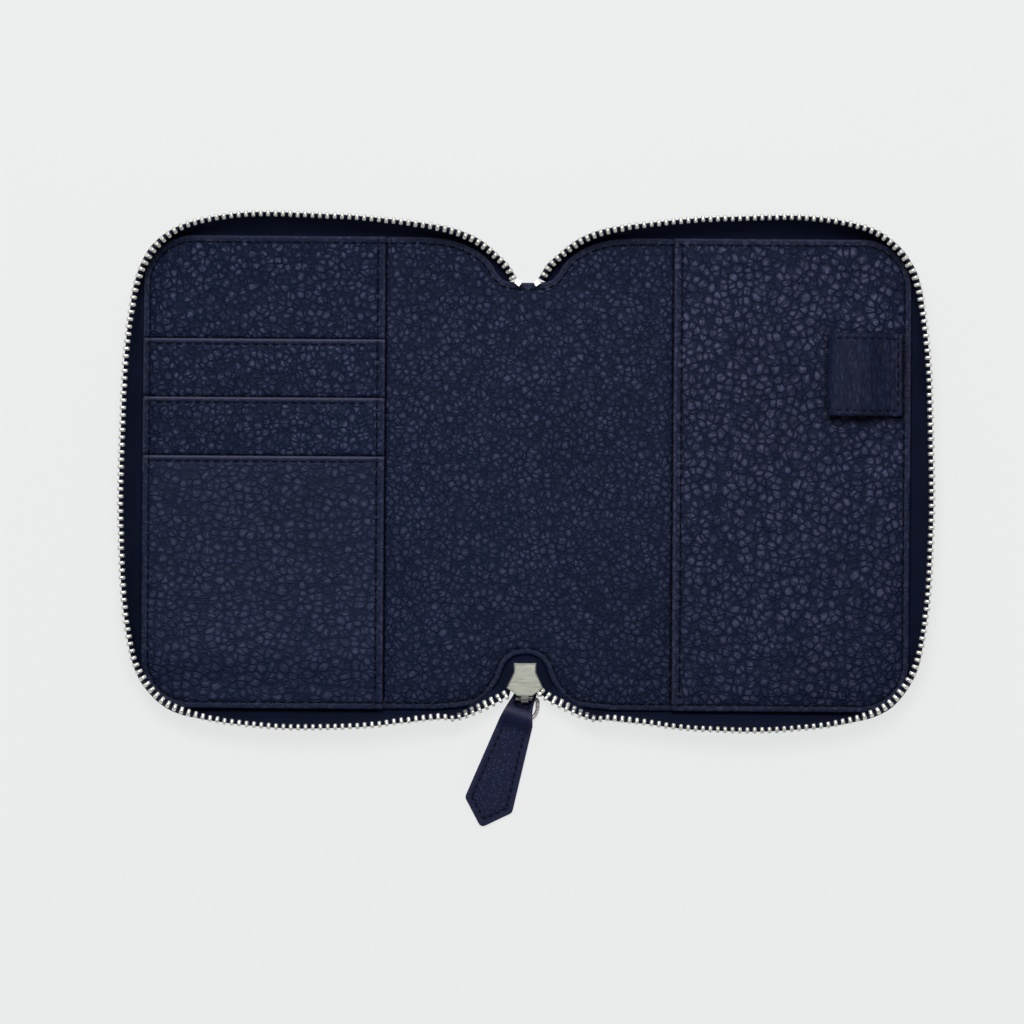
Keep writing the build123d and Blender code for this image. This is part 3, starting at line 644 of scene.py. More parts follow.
# ------------------------------------------------------------ soft leather layers
def wave_at(x, y, amount=0.12, size=26.0, seed=1.0):
    return wobble(x, y, size, amount, seed) + wobble(x, y, size * 0.4, amount * 0.35, seed + 9)


# Outer leather: two halves that meet on the spine's centre line. The outside faces down.
def outer(side):
    loop = half_region(0, HW + 1, side, 1.0)

    def height(x, y, d):
        dist = seg_distance(np.column_stack([np.abs(x), y]), EDGE_NP)
        r = 0.5
        drop = np.where(dist < r, r - np.sqrt(np.maximum(r * r - (r - np.minimum(dist, r)) ** 2, 0)), 0)
        return OUT_T - drop

    def under(x, y, d):
        dist = seg_distance(np.column_stack([np.abs(x), y]), EDGE_NP)
        r = 0.45
        lift = np.where(dist < r, r - np.sqrt(np.maximum(r * r - (r - np.minimum(dist, r)) ** 2, 0)), 0)
        lift = lift + 0.16 * np.exp(-((dist - 2.0) / 0.35) ** 2)
        # the spine's two pressed fold lines
        lift = lift + 0.12 * np.exp(-((np.abs(x) - 10.0) / 0.7) ** 2)
        return lift * 0.98
    ob = sheet("outer_leather_" + ("right" if side > 0 else "left"), loop, height, OUT_T, M_OUTER,
               spacing=1.7, round_r=0.0001, under=under)
    return ob


outer_r, outer_l = outer(1), outer(-1)
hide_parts("right_outer_leather", "spine_outer_leather")
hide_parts("left_outer_leather")


# Lining: runs unbroken across the spine; its halves meet on the centre line.
def lining(side):
    loop = half_region(0, HW + 1, side, 0.85)

    def height(x, y, d):
        ax = np.abs(x)
        dist = seg_distance(np.column_stack([ax, y]), EDGE_NP)
        r = 0.5
        drop = np.where(dist < r, r - np.sqrt(np.maximum(r * r - (r - np.minimum(dist, r)) ** 2, 0)), 0)
        z = LIN1 - drop + groove(dist, 1.9, 0.2, 0.38)
        inner = np.clip((dist - 2.2) / 10, 0, 1)
        # soft rise over the boards, a shallow trough at each fold
        z = z + 0.30 * rise((dist - 2.0) / 5.0) * rise((ax - 11) / 5.0) * (1 - rise((ax - 39.6) / 1.0))
        z = z + 0.12 * rise((dist - 2.0) / 4.0) * (1 - rise((ax - 8.5) / 3.0))
        z = z - 0.14 * np.exp(-((ax - 10.3) / 1.9) ** 2) * inner
        beside = ax - (-PX if side < 0 else PPX)
        z = z - 0.50 * np.exp(-((beside + 0.2) / 0.28) ** 2) * rise((dist - 1.6) / 0.8)
        # long shallow creases running up to the spine top on the left
        if side < 0:
            for k, (cx, cy, ang, ln, w, a) in enumerate(((-20, 55, 52, 17, 1.0, 0.20), (-15, 50, 60, 15, 0.8, 0.16),
                                                         (-27, 61, 38, 12, 0.9, 0.15), (-11, 42, 72, 14, 1.0, 0.12))):
                c, s = math.cos(math.radians(ang)), math.sin(math.radians(ang))
                u = (x - cx) * c - (y - cy) * s
                v = (x - cx) * s + (y - cy) * c
                v = v + 1.2 * np.sin(u / 6.0 + k)
                z = z - a * np.exp(-(v / w) ** 2) * np.exp(-(u / ln) ** 2) * inner
        return z + wave_at(x, y, 0.13, 22.0, 2.0) * inner * (1 - rise((ax - 38) / 3.0))
    def marks(x, y):
        ax = np.abs(x)
        dist = seg_distance(np.column_stack([ax, y]), EDGE_NP)
        beside = ax - (-PX if side < 0 else PPX)
        smooth_part = 1 - rise((dist - 1.3) / 0.9)
        # painted shade in the stitch groove and beside the pocket's edge; painted highlight on the upper outer edge and
        # along the border near the spine
        painted_shade = np.maximum(0.72 * bump_at(dist, 1.95, 0.20), 0.97 * rise((beside + 0.52) / 0.2) * rise((dist - 1.5) / 0.5))
        painted_highlight = 0.26 * bump_at(dist, 0.25, 0.22) * (y > 0) + 0.05 * bump_at(dist, 1.3, 0.3) * (ax < 26)
        return {"press": smooth_part, "painted_shade": painted_shade, "painted_highlight": painted_highlight * (beside < -0.8)}
    return sheet("lining_" + ("right" if side > 0 else "left"), loop, height, 1.0, M_CENTRE, spacing=1.15, marks=marks,
                 round_r=0.0001, rings=(0.15, 0.35, 0.6, 1.1, 1.5, 1.9, 2.3, 3.0),
                 coarse=lambda g: np.abs(g[:, 0]) > 45,
                 columns=[(PX - 0.4, PX + 0.9) if side < 0 else (PPX - 0.9, PPX + 0.4)],
                 under=lambda x, y, d: np.full(len(x), LIN0))


lining_r, lining_l = lining(1), lining(-1)
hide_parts("right_lining", "spine_lining")
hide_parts("left_lining")


def pocket_edge(side):
    """Perimeter distance for points of one half."""
    return lambda x, y: seg_distance(np.column_stack([np.abs(x), y]), EDGE_NP)


per = pocket_edge(1)
SIDE_SEAM = PX - 2.15       # the seam beside the card panel's open side

# Card panel: the part above the slots shows; the rest runs on under them.
panel_loop = half_region(-PX, HW + 1, -1, 0.9)


def rect_loop(x0, x1, y0, y1, sp=0.9):
    loop = even([(x0, y0), (x1, y0)], sp)[:-1] + even([(x1, y0), (x1, y1)], sp)[:-1]
    loop += even([(x1, y1), (x0, y1)], sp)[:-1] + even([(x0, y1), (x0, y0)], sp)[:-1]
    return loop


def clip_half(loop, y0, y1, sp=0.9):
    """Cuts a closed half-outline loop to a band of y."""
    p = [tuple(q) for q in loop]
    for y, keep in ((y0, 1), (y1, -1)):
        out = []
        for a, b in zip(p, p[1:] + p[:1]):
            ia, ib = (a[1] - y) * keep >= 0, (b[1] - y) * keep >= 0
            if ia:
                out.append(a)
            if ia != ib:
                t = (y - a[1]) / (b[1] - a[1])
                out.append((a[0] + (b[0] - a[0]) * t, y))
        p = out
    res = []
    for a, b in zip(p, p[1:] + p[:1]):
        d = math.dist(a, b)
        if d < 0.05:
            continue
        n = max(1, round(d / sp)) if d > 1.6 * sp else 1
        for k in range(n):
            res.append((a[0] + (b[0] - a[0]) * k / n, a[1] + (b[1] - a[1]) * k / n))
    return res


def top_height(base, y_top=None, crown=0.22, slope=None, seed=0.0, waves=0.10, press=()):
    """Top of a panel layer: crowned, sewn down round the edges, pressed in above the strip that covers it."""
    def height(x, y, d):
        dist = per(x, y)
        z = np.full(len(x), base)
        if slope is not None:
            z = z - slope(y)
        inner = rise((dist - 0.2) / 0.8)
        z = z + groove(dist, 1.9, 0.26, 0.30)
        z = z + groove(PX - x, 2.15, 0.26, 0.30) * inner
        grow = rise((dist - 1.9) / 3.2) * (0.35 + 0.65 * rise((SIDE_SEAM - x) / 2.5))
        if y_top is not None:
            down = y_top - y
            z = z + groove(down, 1.62, 0.24, 0.28) * inner
            grow = grow * (0.2 + 0.8 * rise((down - 1.6) / 2.6))
            z = z + 0.10 * np.exp(-((down - 0.55) / 0.45) ** 2)
        for y_edge in press:
            z = z - 0.55 * np.exp(-((y - y_edge - 0.16) / 0.27) ** 2) * rise((dist - 0.1) / 0.6)
        z = z + crown * grow
        return z + wave_at(x, y, waves, 17.0, seed) * grow
    return height


def panel_marks(y_top=None, press=()):
    def marks(x, y):
        dist = per(x, y)
        side = PX - x
        smooth_part = np.maximum(1 - rise((dist - 1.3) / 0.9), 0.55 * (1 - rise((side - 1.4) / 1.0)))
        # painted shade in the stitch grooves and in the dark line just above the edge of the strip below; painted
        # highlight on the upper outer edge, the open side's edge and each strip's top lip
        painted_shade = 0.75 * bump_at(dist, 1.95, 0.20)
        painted_shade = np.maximum(painted_shade, 0.62 * bump_at(side, 2.15, 0.24))
        painted_highlight = 0.26 * bump_at(dist, 0.25, 0.22) * (y > 0) + 0.12 * bump_at(side, 0.35, 0.3)
        clear = rise((dist - 0.2) / 0.8) * (0.4 + 0.6 * rise((np.abs(side - 2.15) - 0.2) / 0.5))
        if y_top is not None:
            down = y_top - y
            smooth_part = np.maximum(smooth_part, 1 - rise((down - 1.7) / 0.7))
            painted_shade = np.maximum(painted_shade, 0.60 * bump_at(down, 1.62, 0.22) * clear)
            painted_highlight = np.maximum(painted_highlight * (down > 0.8), 0.62 * bump_at(down, 0.32, 0.30) * clear)
        for e in press:
            painted_shade = np.maximum(painted_shade, 0.97 * rise((0.46 - (y - e)) / 0.22) * (y > e - 0.6) * rise((dist - 0.05) / 0.35))
            painted_highlight = painted_highlight * (y > e + 0.9)
        return {"press": smooth_part, "painted_shade": painted_shade, "painted_highlight": painted_highlight}
    return marks


def soft_round(dist, r=0.4):
    return np.where(dist < r, r - np.sqrt(np.maximum(r * r - (r - np.minimum(dist, r)) ** 2, 0)), 0)


def foot_slope(top, foot, drop):
    """How far a strip has come down towards its foot."""
    return lambda y: drop * (1 - rise((y - foot - 5) / 11.0))


panel = sheet("card_panel", clip_half(panel_loop, SLOT_TOP[0] - 9, 80), top_height(PANEL1, None, 0.30, seed=5.0, waves=0.16, press=(SLOT_TOP[0],)),
              0.7, M_PANEL, spacing=1.1, bands=[(SLOT_TOP[0] - 0.3, SLOT_TOP[0] + 0.8)], marks=panel_marks(None, (SLOT_TOP[0],)), columns=[(PX - 2.7, PX - 1.6)])
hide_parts("left_pocket_panel")
strips = []
for k, (name, mat) in enumerate((("upper", M_SLOT), ("middle", M_SLOT), ("lower", M_LOW))):
    y1 = SLOT_TOP[k]
    y0 = SLOT_TOP[k + 1] - 8 if k < 2 else -80
    loop = clip_half(panel_loop, y0, y1)
    slope = None if k < 2 else foot_slope(y1, -HH, 1.6)
    ob = sheet("card_slot_" + name + "_leather", loop, top_height(SLOT_Z[k], y1, 0.22, slope, seed=11.0 * k + 3, waves=0.12, press=SLOT_TOP[k + 1:k + 2]),
               0.7, mat, spacing=1.1, round_r=0.34, bands=[(SLOT_TOP[j] - 0.3, SLOT_TOP[j] + 0.8) for j in (k + 1,) if j < 3],
               marks=panel_marks(y1, SLOT_TOP[k + 1:k + 2]), columns=[(PX - 2.7, PX - 1.6)])
    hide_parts("card_slot_" + name)
    strips.append(ob)

# Lower part of the card panel that carries the strips, seen only at its open side.
back_panel = sheet("card_panel_back", clip_half(panel_loop, -80, SLOT_TOP[0] - 8.5),
                   lambda x, y, d: np.full(len(x), PANEL1) - 0.05, 0.65, M_EDGE, spacing=3.5, rings=(0.3,), round_r=0.2)


# Passport pocket: sewn on three sides, its mouth towards the spine.
pp_loop = half_region(PPX, HW + 1, 1, 0.9)


def pp_height(x, y, d):
    dist = per(x, y)
    inx = x - PPX
    z = np.full(len(x), PP1 - 0.1)
    z = z + groove(dist, 1.9, 0.24, 0.36)
    z = z + groove(inx, 2.25, 0.26, 0.30) * rise((dist - 0.4) / 0.8)
    grow = rise((dist - 1.9) / 5.0) * (0.2 + 0.8 * rise((inx - 2.2) / 5.0))
    z = z + 0.42 * grow + 0.10 * np.exp(-((inx - 0.8) / 0.6) ** 2)
    return z + wave_at(x, y, 0.20, 19.0, 31.0) * grow


def pp_marks(x, y):
    dist = per(x, y)
    inx = x - PPX
    smooth_part = np.maximum(1 - rise((dist - 1.3) / 0.9), 0.55 * (1 - rise((inx - 1.4) / 1.0)))
    # painted shade in the stitch grooves; painted highlight on the upper outer edge and along the pocket mouth's edge
    painted_shade = np.maximum(0.75 * bump_at(dist, 1.95, 0.20), 0.66 * bump_at(inx, 2.25, 0.24) * rise((dist - 1.2) / 0.8))
    painted_highlight = np.maximum(0.26 * bump_at(dist, 0.25, 0.22) * (y > 0), 0.16 * bump_at(inx, 0.4, 0.4) * rise((dist - 1.6) / 0.8))
    # painted shadow of the pen loop on what lies just beside it
    bx = np.maximum(np.maximum(PEN0[0] - x, x - PEN1[0]), 0)
    by = np.maximum(np.maximum(PEN0[1] - y, y - PEN1[1]), 0)
    painted_shade = np.maximum(painted_shade, 0.55 * np.exp(-(np.hypot(bx, by * np.where(y < PEN0[1], 0.55, 1.3)) / 1.1) ** 2))
    return {"press": smooth_part, "painted_shade": painted_shade, "painted_highlight": painted_highlight}


pocket = sheet("passport_pocket_leather", pp_loop, pp_height, 0.9, M_RIGHT, spacing=1.05, round_r=0.45,
               marks=pp_marks, columns=[(PPX + 1.7, PPX + 2.8)])
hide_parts("passport_pocket")


# Pen loop: a strap folded at its left end, both tails sewn under the edge seam.
def pen():
    x0, x1 = PEN0[0], PEN1[0] - 0.2
    y0, y1 = PEN0[1] + 0.1, PEN1[1] - 0.1
    z0, z3 = PEN0[2] + 0.12, PEN1[2]
    w = 0.95
    r = (z3 - z0) / 2
    cz = (z0 + z3) / 2
    outer_line = [(x1, z0), (x0 + r, z0)]
    outer_line += [(x0 + r - r * math.sin(math.radians(a)), cz - r * math.cos(math.radians(a))) for a in range(10, 180, 10)]
    outer_line += [(x0 + r, z3), (94.6, z3 - 0.05), (97.4, z3 - 0.9), (99.6, z3 - 2.3), (101.8, z0 + 2 * w + 0.9),
                   (103.6, z0 + 2 * w + 0.15), (x1, z0 + 2 * w)]
    line = even(outer_line, 0.55)
    p = np.array(line)
    t = np.gradient(p, axis=0)
    t /= np.linalg.norm(t, axis=1, keepdims=True)
    nrm = np.stack([-t[:, 1], t[:, 0]], 1)              # left of travel: outwards of the loop is the other side
    mid = p.mean(0)
    ny = 46
    verts, faces = [], []
    s = np.concatenate([[0], np.cumsum(np.linalg.norm(np.diff(p, axis=0), axis=1))])
    top_side = s > s[-1] * 0.47
    for shell in (0, 1):
        for j in range(ny + 1):
            v = j / ny
            y = y0 + (y1 - y0) * v
            e = min(v, 1 - v) * (y1 - y0)
            er = float(soft_round(np.array([e]), 0.42)[0])
            for i in range(len(p)):
                x, z = p[i]
                inward = (-nrm[i] if np.dot(-nrm[i], np.array([x0 + 4.5, cz]) - p[i]) > 0 else nrm[i])
                if shell == 0:
                    wr = 0.0
                    if top_side[i]:
                        wr = 0.34 * noise.noise(Vector((x / 2.6, y / 13.0, 4.0))) * rise((x - x0 - 0.5) / 3.5)
                        wr -= 0.20 * math.exp(-((e - 1.6) / 0.35) ** 2) * float(rise((x - x0 - 1.5) / 1.5))
                        wr += 0.10 * noise.noise(Vector((x / 1.2, y / 5.0, 9.0)))
                    else:
                        wr = 0.08 * noise.noise(Vector((x / 3.0, y / 9.0, 2.0)))
                    off = er - wr
                    dx = 0.0
                else:
                    off = w - er
                    dx = 0.0
                sag = 0.0
                q = (x + inward[0] * off + dx, y + 0.25 * noise.noise(Vector((x / 5.0, j * 0.0 + (1 if v > 0.5 else 5), 1.0))) * (1 - 2 * min(v, 1 - v)),
                     z + inward[1] * off + sag)
                verts.append(q)
    n, m = len(p), len(p) * (ny + 1)
    for j in range(ny):
        for i in range(n - 1):
            a, b, c, d = j * n + i, j * n + i + 1, (j + 1) * n + i + 1, (j + 1) * n + i
            faces.append((a, d, c, b))
            faces.append((a + m, b + m, c + m, d + m))
    for i in range(n - 1):
        faces.append((i, i + 1, i + 1 + m, i + m))
        k = ny * n
        faces.append((k + i, k + i + m, k + i + 1 + m, k + i + 1))
    for j in range(ny):
        a, b = j * n, (j + 1) * n
        faces.append((a, a + m, b + m, b))
        a, b = j * n + n - 1, (j + 1) * n + n - 1
        faces.append((a, b, b + m, a + m))
    return mesh_object("pen_loop_leather", verts, faces, M_LOOP)


pen_ob = pen()
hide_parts("pen_loop")


# ------------------------------------------------------------ zip tape and teeth
def ramp_table(x, table):
    for (x0, v0), (x1, v1) in zip(table, table[1:]):
        if x <= x1:
            t = max(0.0, (x - x0) / (x1 - x0))
            return v0 + (v1 - v0) * t
    return table[-1][1]


def station(p, before, after):
    tx, ty = after[0] - before[0], after[1] - before[1]
    s = math.hypot(tx, ty)
    nx, ny = -ty / s, tx / s
    d = EDGE_NP - np.array(p)
    k = int(np.argmin((d * d).sum(1)))
    reach = max(float(np.sqrt((d[k] * d[k]).sum())), 0.9)
    lean = 15.0 * min(1.0, max(0.0, (6.0 - reach) / 4.3))
    tip_z = ZTOP
    if p[0] < 28 and p[1] > 0:
        lean = lean + (14.0 - lean) * min(1.0, (28 - p[0]) / 12.0)
        tip_z = ramp_table(p[0], [(3, 6.2), (8, 8.0), (16, 10.4), (24, ZTOP)])
    if p[0] < 28 and p[1] < 0:
        lean = ramp_table(p[0], [(5.9, -86), (9, -72), (13, -45), (18.5, -12), (24, lean), (28, lean)])
        tip_z = ramp_table(p[0], [(5.9, 6.2), (9, 7.0), (13, 8.6), (18.5, 10.6), (24, ZTOP)])
    a = math.radians(lean)
    base = (reach - 0.55, tip_z - TOOTH * math.cos(a)) if lean >= 0 else \
        (reach + TOOTH * math.sin(a), tip_z - TOOTH * math.cos(a))
    return [p[0], p[1], nx, ny, reach, a, base[0], base[1]]


_dense = walk(smooth(CHAIN + [(4.35, -63.2)], 10), 0.5)
ST = np.array([station(_dense[i], _dense[max(i - 4, 0)], _dense[min(i + 4, len(_dense) - 1)])
               for i in range(len(_dense))])
# the slopes and reaches are evened out along the chain
for _ in range(3):
    pad = np.vstack([ST[:1], ST, ST[-1:]])
    ST[1:-1, 4:] = (pad[:-2, 4:] + 2 * pad[1:-1, 4:] + pad[2:, 4:])[1:-1] / 4


def tape_line(st, n=9):
    """Middle line of the tape at a station: distance from the edge and height."""
    reach, a, bd, bz = st[4], st[5], st[6], st[7]
    ux, uz = -math.sin(a), math.cos(a)
    p1 = (0.15, SEAM_Z)
    pull = min(3.8, 0.7 * math.hypot(bd - p1[0], bz - p1[1]))
    c0 = (1.5, SEAM_Z - 0.15)
    c1 = (bd - ux * pull, bz - uz * pull)
    if a < -0.1:
        c0 = (1.3, SEAM_Z + 0.9)
        c1 = (bd - ux * pull * 0.45, bz - uz * pull * 0.45)
    line = [(-2.6, SEAM_Z), (-1.2, SEAM_Z)]
    for k in range(n + 1):
        t = k / n
        line.append(tuple((1 - t) ** 3 * p1[i] + 3 * t * (1 - t) ** 2 * c0[i] + 3 * t * t * (1 - t) * c1[i] + t ** 3 * (bd, bz)[i]
                          for i in (0, 1)))
    for s in (0.7, 1.5, 2.3, 2.95):
        line.append((bd + ux * s, bz + uz * s))
    return line


def tape(side):
    rows, uvs, verts, faces = [], [], [], []
    step = 3
    ids = list(range(0, len(ST), step))
    if ids[-1] != len(ST) - 1:
        ids.append(len(ST) - 1)
    along = 0.0
    prev = None
    for i in ids:
        st = ST[i]
        line = tape_line(st)
        p = np.array(line)
        t = np.gradient(p, axis=0)
        t /= np.linalg.norm(t, axis=1, keepdims=True)
        nrm = np.stack([-t[:, 1], t[:, 0]], 1)
        s = np.concatenate([[0], np.cumsum(np.linalg.norm(np.diff(p, axis=0), axis=1))])
        # a soft ripple along the tape, none at the seam or the teeth
        ripple = 0.22 * noise.noise(Vector((i * 0.5 / 14.0, side * 3.0, 0.5))) + 0.12 * noise.noise(Vector((i * 0.5 / 4.5, side * 7.0, 2.5)))
        free = np.sin(np.clip((s - 2.4) / (s[-1] - 3.5), 0, 1) * math.pi)
        p = p + nrm * (ripple * free)[:, None]
        half = np.full(len(p), 0.28)
        half[-2:] = 0.36
        ring = []
        for k in range(len(p)):
            ring.append((p[k] + nrm[k] * half[k], s[k]))
        ring.append((p[-1] + t[-1] * 0.3, s[-1] + 0.3))
        for k in range(len(p) - 1, -1, -1):
            ring.append((p[k] - nrm[k] * half[k], s[k]))
        if prev is not None:
            along += math.dist(prev, (st[0], st[1]))
        prev = (st[0], st[1])
        rx, ry = st[0] - st[2] * st[4], st[1] - st[3] * st[4]
        for q, sv in ring:
            verts.append((side * (rx + st[2] * q[0]), ry + st[3] * q[0], q[1]))
            uvs.append((along, sv))
        m = len(ring)
    for a in range(len(ids) - 1):
        for k in range(m):
            i0, i1 = a * m + k, a * m + (k + 1) % m
            f = (i0, i1, i1 + m, i0 + m)
            faces.append(f if side < 0 else f[::-1])
    faces.append(tuple(range(m))[::-1] if side < 0 else tuple(range(m)))
    last_ring = tuple((len(ids) - 1) * m + k for k in range(m))
    faces.append(last_ring if side < 0 else last_ring[::-1])
    return mesh_object("zip_tape_" + ("right" if side > 0 else "left"), verts, faces, M_TAPE, uv=uvs)


tape_r, tape_l = tape(1), tape(-1)
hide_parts("right_zip_tape", "right_bend_tape")
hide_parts("left_zip_tape", "left_bend_tape")


def one_tooth():
    """Rounded sections up the tooth: clamped legs, waist, coupling head. x along the chain, y up, z through."""
    rows = [(1.10, 0.66, 1.20), (1.20, 0.98, 1.60), (1.40, 1.18, 1.84), (1.95, 1.22, 1.94), (2.20, 1.12, 1.88),
            (2.45, 1.00, 1.74), (2.70, 1.00, 1.74), (3.00, 1.10, 1.86), (3.35, 1.12, 1.88), (3.64, 0.98, 1.70),
            (3.82, 0.70, 1.34), (3.90, 0.34, 0.86)]
    verts, faces = [], []
    n = 12
    for y, w, h in rows:
        for k in range(n):
            a = 2 * math.pi * (k + 0.5) / n
            c, s = math.cos(a), math.sin(a)
            e = 0.45
            verts.append((0.5 * w * math.copysign(abs(c) ** e, c), y, 0.5 * h * math.copysign(abs(s) ** e, s)))
    # a dimple in the head's top face where the next tooth sits is left to the waist
    for r in range(len(rows) - 1):
        for k in range(n):
            a, b = r * n + k, r * n + (k + 1) % n
            faces.append((a, a + n, b + n, b))
    faces.append(tuple(range(n)))
    faces.append(tuple((len(rows) - 1) * n + k for k in range(n))[::-1])
    return np.array(verts), faces


TV, TF = one_tooth()


MOUTH = []


def chain(side, phase):
    def place(st, d, z):
        rx, ry = st[0] - st[2] * st[4], st[1] - st[3] * st[4]
        return np.array((rx + st[2] * d, ry + st[3] * d, z))
    mids = [place(s, s[6] - math.sin(s[5]) * 2, s[7] + math.cos(s[5]) * 2) for s in ST]
    verts, faces, trail = [], [], []

    def put(v):
        v = v.copy()
        v[:, 0] *= side
        off = len(verts) * len(TV)
        verts.append(v)
        faces.extend(tuple(k + off for k in (f if side > 0 else f[::-1])) for f in TF)

    need = phase * PITCH
    count = 0
    for i in range(len(ST) - 1):
        d = float(np.linalg.norm(mids[i + 1] - mids[i]))
        while need <= d:
            t = need / d
            need += PITCH
            if not (1.0 < i + t < len(ST) - 1.6):
                continue
            st = ST[i] + (ST[i + 1] - ST[i]) * t
            nx, ny = st[2] / math.hypot(st[2], st[3]), st[3] / math.hypot(st[2], st[3])
            jit = np.array([noise.noise(Vector((count * 0.73, side * 5.0, k * 3.1))) for k in range(3)])
            lean = st[5] + 0.05 * jit[0]
            base = place(st, st[6], st[7])
            up = np.array((-nx * math.sin(lean), -ny * math.sin(lean), math.cos(lean)))
            al = np.array((ny, -nx, 0.0)) + np.array((nx, ny, 0)) * 0.05 * jit[1]
            al /= np.linalg.norm(al)
            th = np.cross(al, up)
            v = base + TV[:, :1] * al + TV[:, 1:2] * up + TV[:, 2:] * th
            put(v)
            count += 1
            trail.append((base, al, up, th))
        need -= d
    # the tooth just entering the slider's mouth is kept with the slider
    (b0, _, _, _), (b1, al, up, th) = trail[-2], trail[-1]
    step = (b1 - b0) / np.linalg.norm(b1 - b0) * PITCH
    v = b1 + step + TV[:, :1] * al + TV[:, 1:2] * up + TV[:, 2:] * th
    v[:, 0] *= side
    MOUTH.append((v, side))
    return mesh_object("zip_teeth_" + ("right" if side > 0 else "left"), np.vstack(verts), faces, M_TEETH)


teeth_r, teeth_l = chain(1, 0.75), chain(-1, 0.25)
mouth_teeth = mesh_object("slider_mouth_teeth", np.vstack([v for v, _ in MOUTH]),
                          [tuple(k + i * len(TV) for k in (f if sd > 0 else f[::-1])) for i, (_, sd) in enumerate(MOUTH) for f in TF],
                          M_TEETH)
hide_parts("right_zip_teeth", "right_bend_teeth")
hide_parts("left_zip_teeth", "left_bend_teeth")


# Tape that closes the arch between the slider and the spine's edge, sewn down along the arch.
def arch_tape():
    low = [q for q in smooth(ARCH, 12) if q[0] <= 8.9]           # from outside in, ends at x 0
    n = 40
    rim = even(low, 0.45)
    rim = rim + [(-x, y) for x, y in rim[::-1][1:]]               # right to left over the top
    verts, faces, uvs = [], [], []
    rows = 9
    for i, (x, y) in enumerate(rim):
        # the edge that meets the slider and the chain
        k = i / (len(rim) - 1)
        t = abs(2 * k - 1)
        if t > 0.62:
            q = (t - 0.62) / 0.38
            tx, ty, tz = 2.9 + 1.6 * q, -57.6 - 5.9 * q, 5.9 - 0.4 * q
        else:
            q = t / 0.62
            tx, ty, tz = 1.0 + 1.9 * q, -54.7 - 2.9 * q ** 1.5, 5.9
        tx *= 1 if k < 0.5 else -1
        if abs(t) < 0.12:
            tx *= t / 0.12
        for s in (0, 1):
            for j in range(rows + 1):
                v = j / rows
                a = v * v * (3 - 2 * v)
                px = x + (tx - x) * v
                py = y + (ty - y) * v
                pz = SEAM_Z + 0.1 + (tz - SEAM_Z) * (a * 0.7 + v * 0.3)
                if j == 0:
                    px, py = x * 1.0, y + 0.0
                pz += 0.10 * noise.noise(Vector((px / 2.5, py / 2.5, 3.0))) * math.sin(math.pi * v)
                verts.append((px, py, pz + (0.22 if s == 0 else -0.22)))
                uvs.append((i * 0.45, v * 5))
    w = rows + 1
    for i in range(len(rim) - 1):
        for j in range(rows):
            a = i * 2 * w + j
            b = (i + 1) * 2 * w + j
            faces.append((a, b, b + 1, a + 1))
            faces.append((a + w, a + w + 1, b + w + 1, b + w))
        a, b = i * 2 * w, (i + 1) * 2 * w
        faces.append((a, a + w, b + w, b))
        faces.append((a + rows, b + rows, b + rows + w, a + rows + w))
    for i, flip in ((0, False), (len(rim) - 1, True)):
        for j in range(rows):
            a = i * 2 * w + j
            f = (a, a + 1, a + 1 + w, a + w)
            faces.append(f if not flip else f[::-1])
    return mesh_object("spine_zip_tape_arch", verts, faces, M_TAPE, uv=uvs)


arch_ob = arch_tape()
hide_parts("spine_zip_tape")


# ------------------------------------------------------------ pull tab
TC, TS = math.cos(TAB_ANGLE), math.sin(TAB_ANGLE)


def tab_world(v, w, z):
    return (TAB_X + v * TC + w * TS, TAB_Y - v * TS + w * TC, z)


TAB_OUT = [(3.1, 2.6), (3.1, -2.4), (4.8, -6.2), (5.25, -11.2), (6.2, -21.7), (7.1, -31.7)]
TAB_T = 0.9


def tab_outline(top=2.55):
    p = [(3.1, top), (3.15, 0.2), (3.3, -1.8), (3.65, -3.4), (4.3, -5.2), (4.85, -6.8)]
    p = smooth(p, 6)
    q = smooth([(3.1, top), (3.25, 0.2), (3.75, -1.8), (4.15, -3.4), (4.55, -5.2), (4.85, -6.8)], 6)
    p += even([(4.85, -6.8), (7.02, -30.9)], 0.7)[1:]
    # rounded lower corners and tip
    c = [(7.02, -30.9), (6.95, -31.9), (6.3, -32.75), (5.6, -33.4)]
    p += smooth(c, 5)[1:]
    p += even([(5.6, -33.4), (1.15, -37.7)], 0.7)[1:]
    c = [(1.15, -37.7), (0.6, -38.12), (0, -38.28)]
    p += smooth(c, 5)[1:]
    left_side = q + p[len(q):]
    return p + [(-x, y) for x, y in left_side[::-1][1:]]


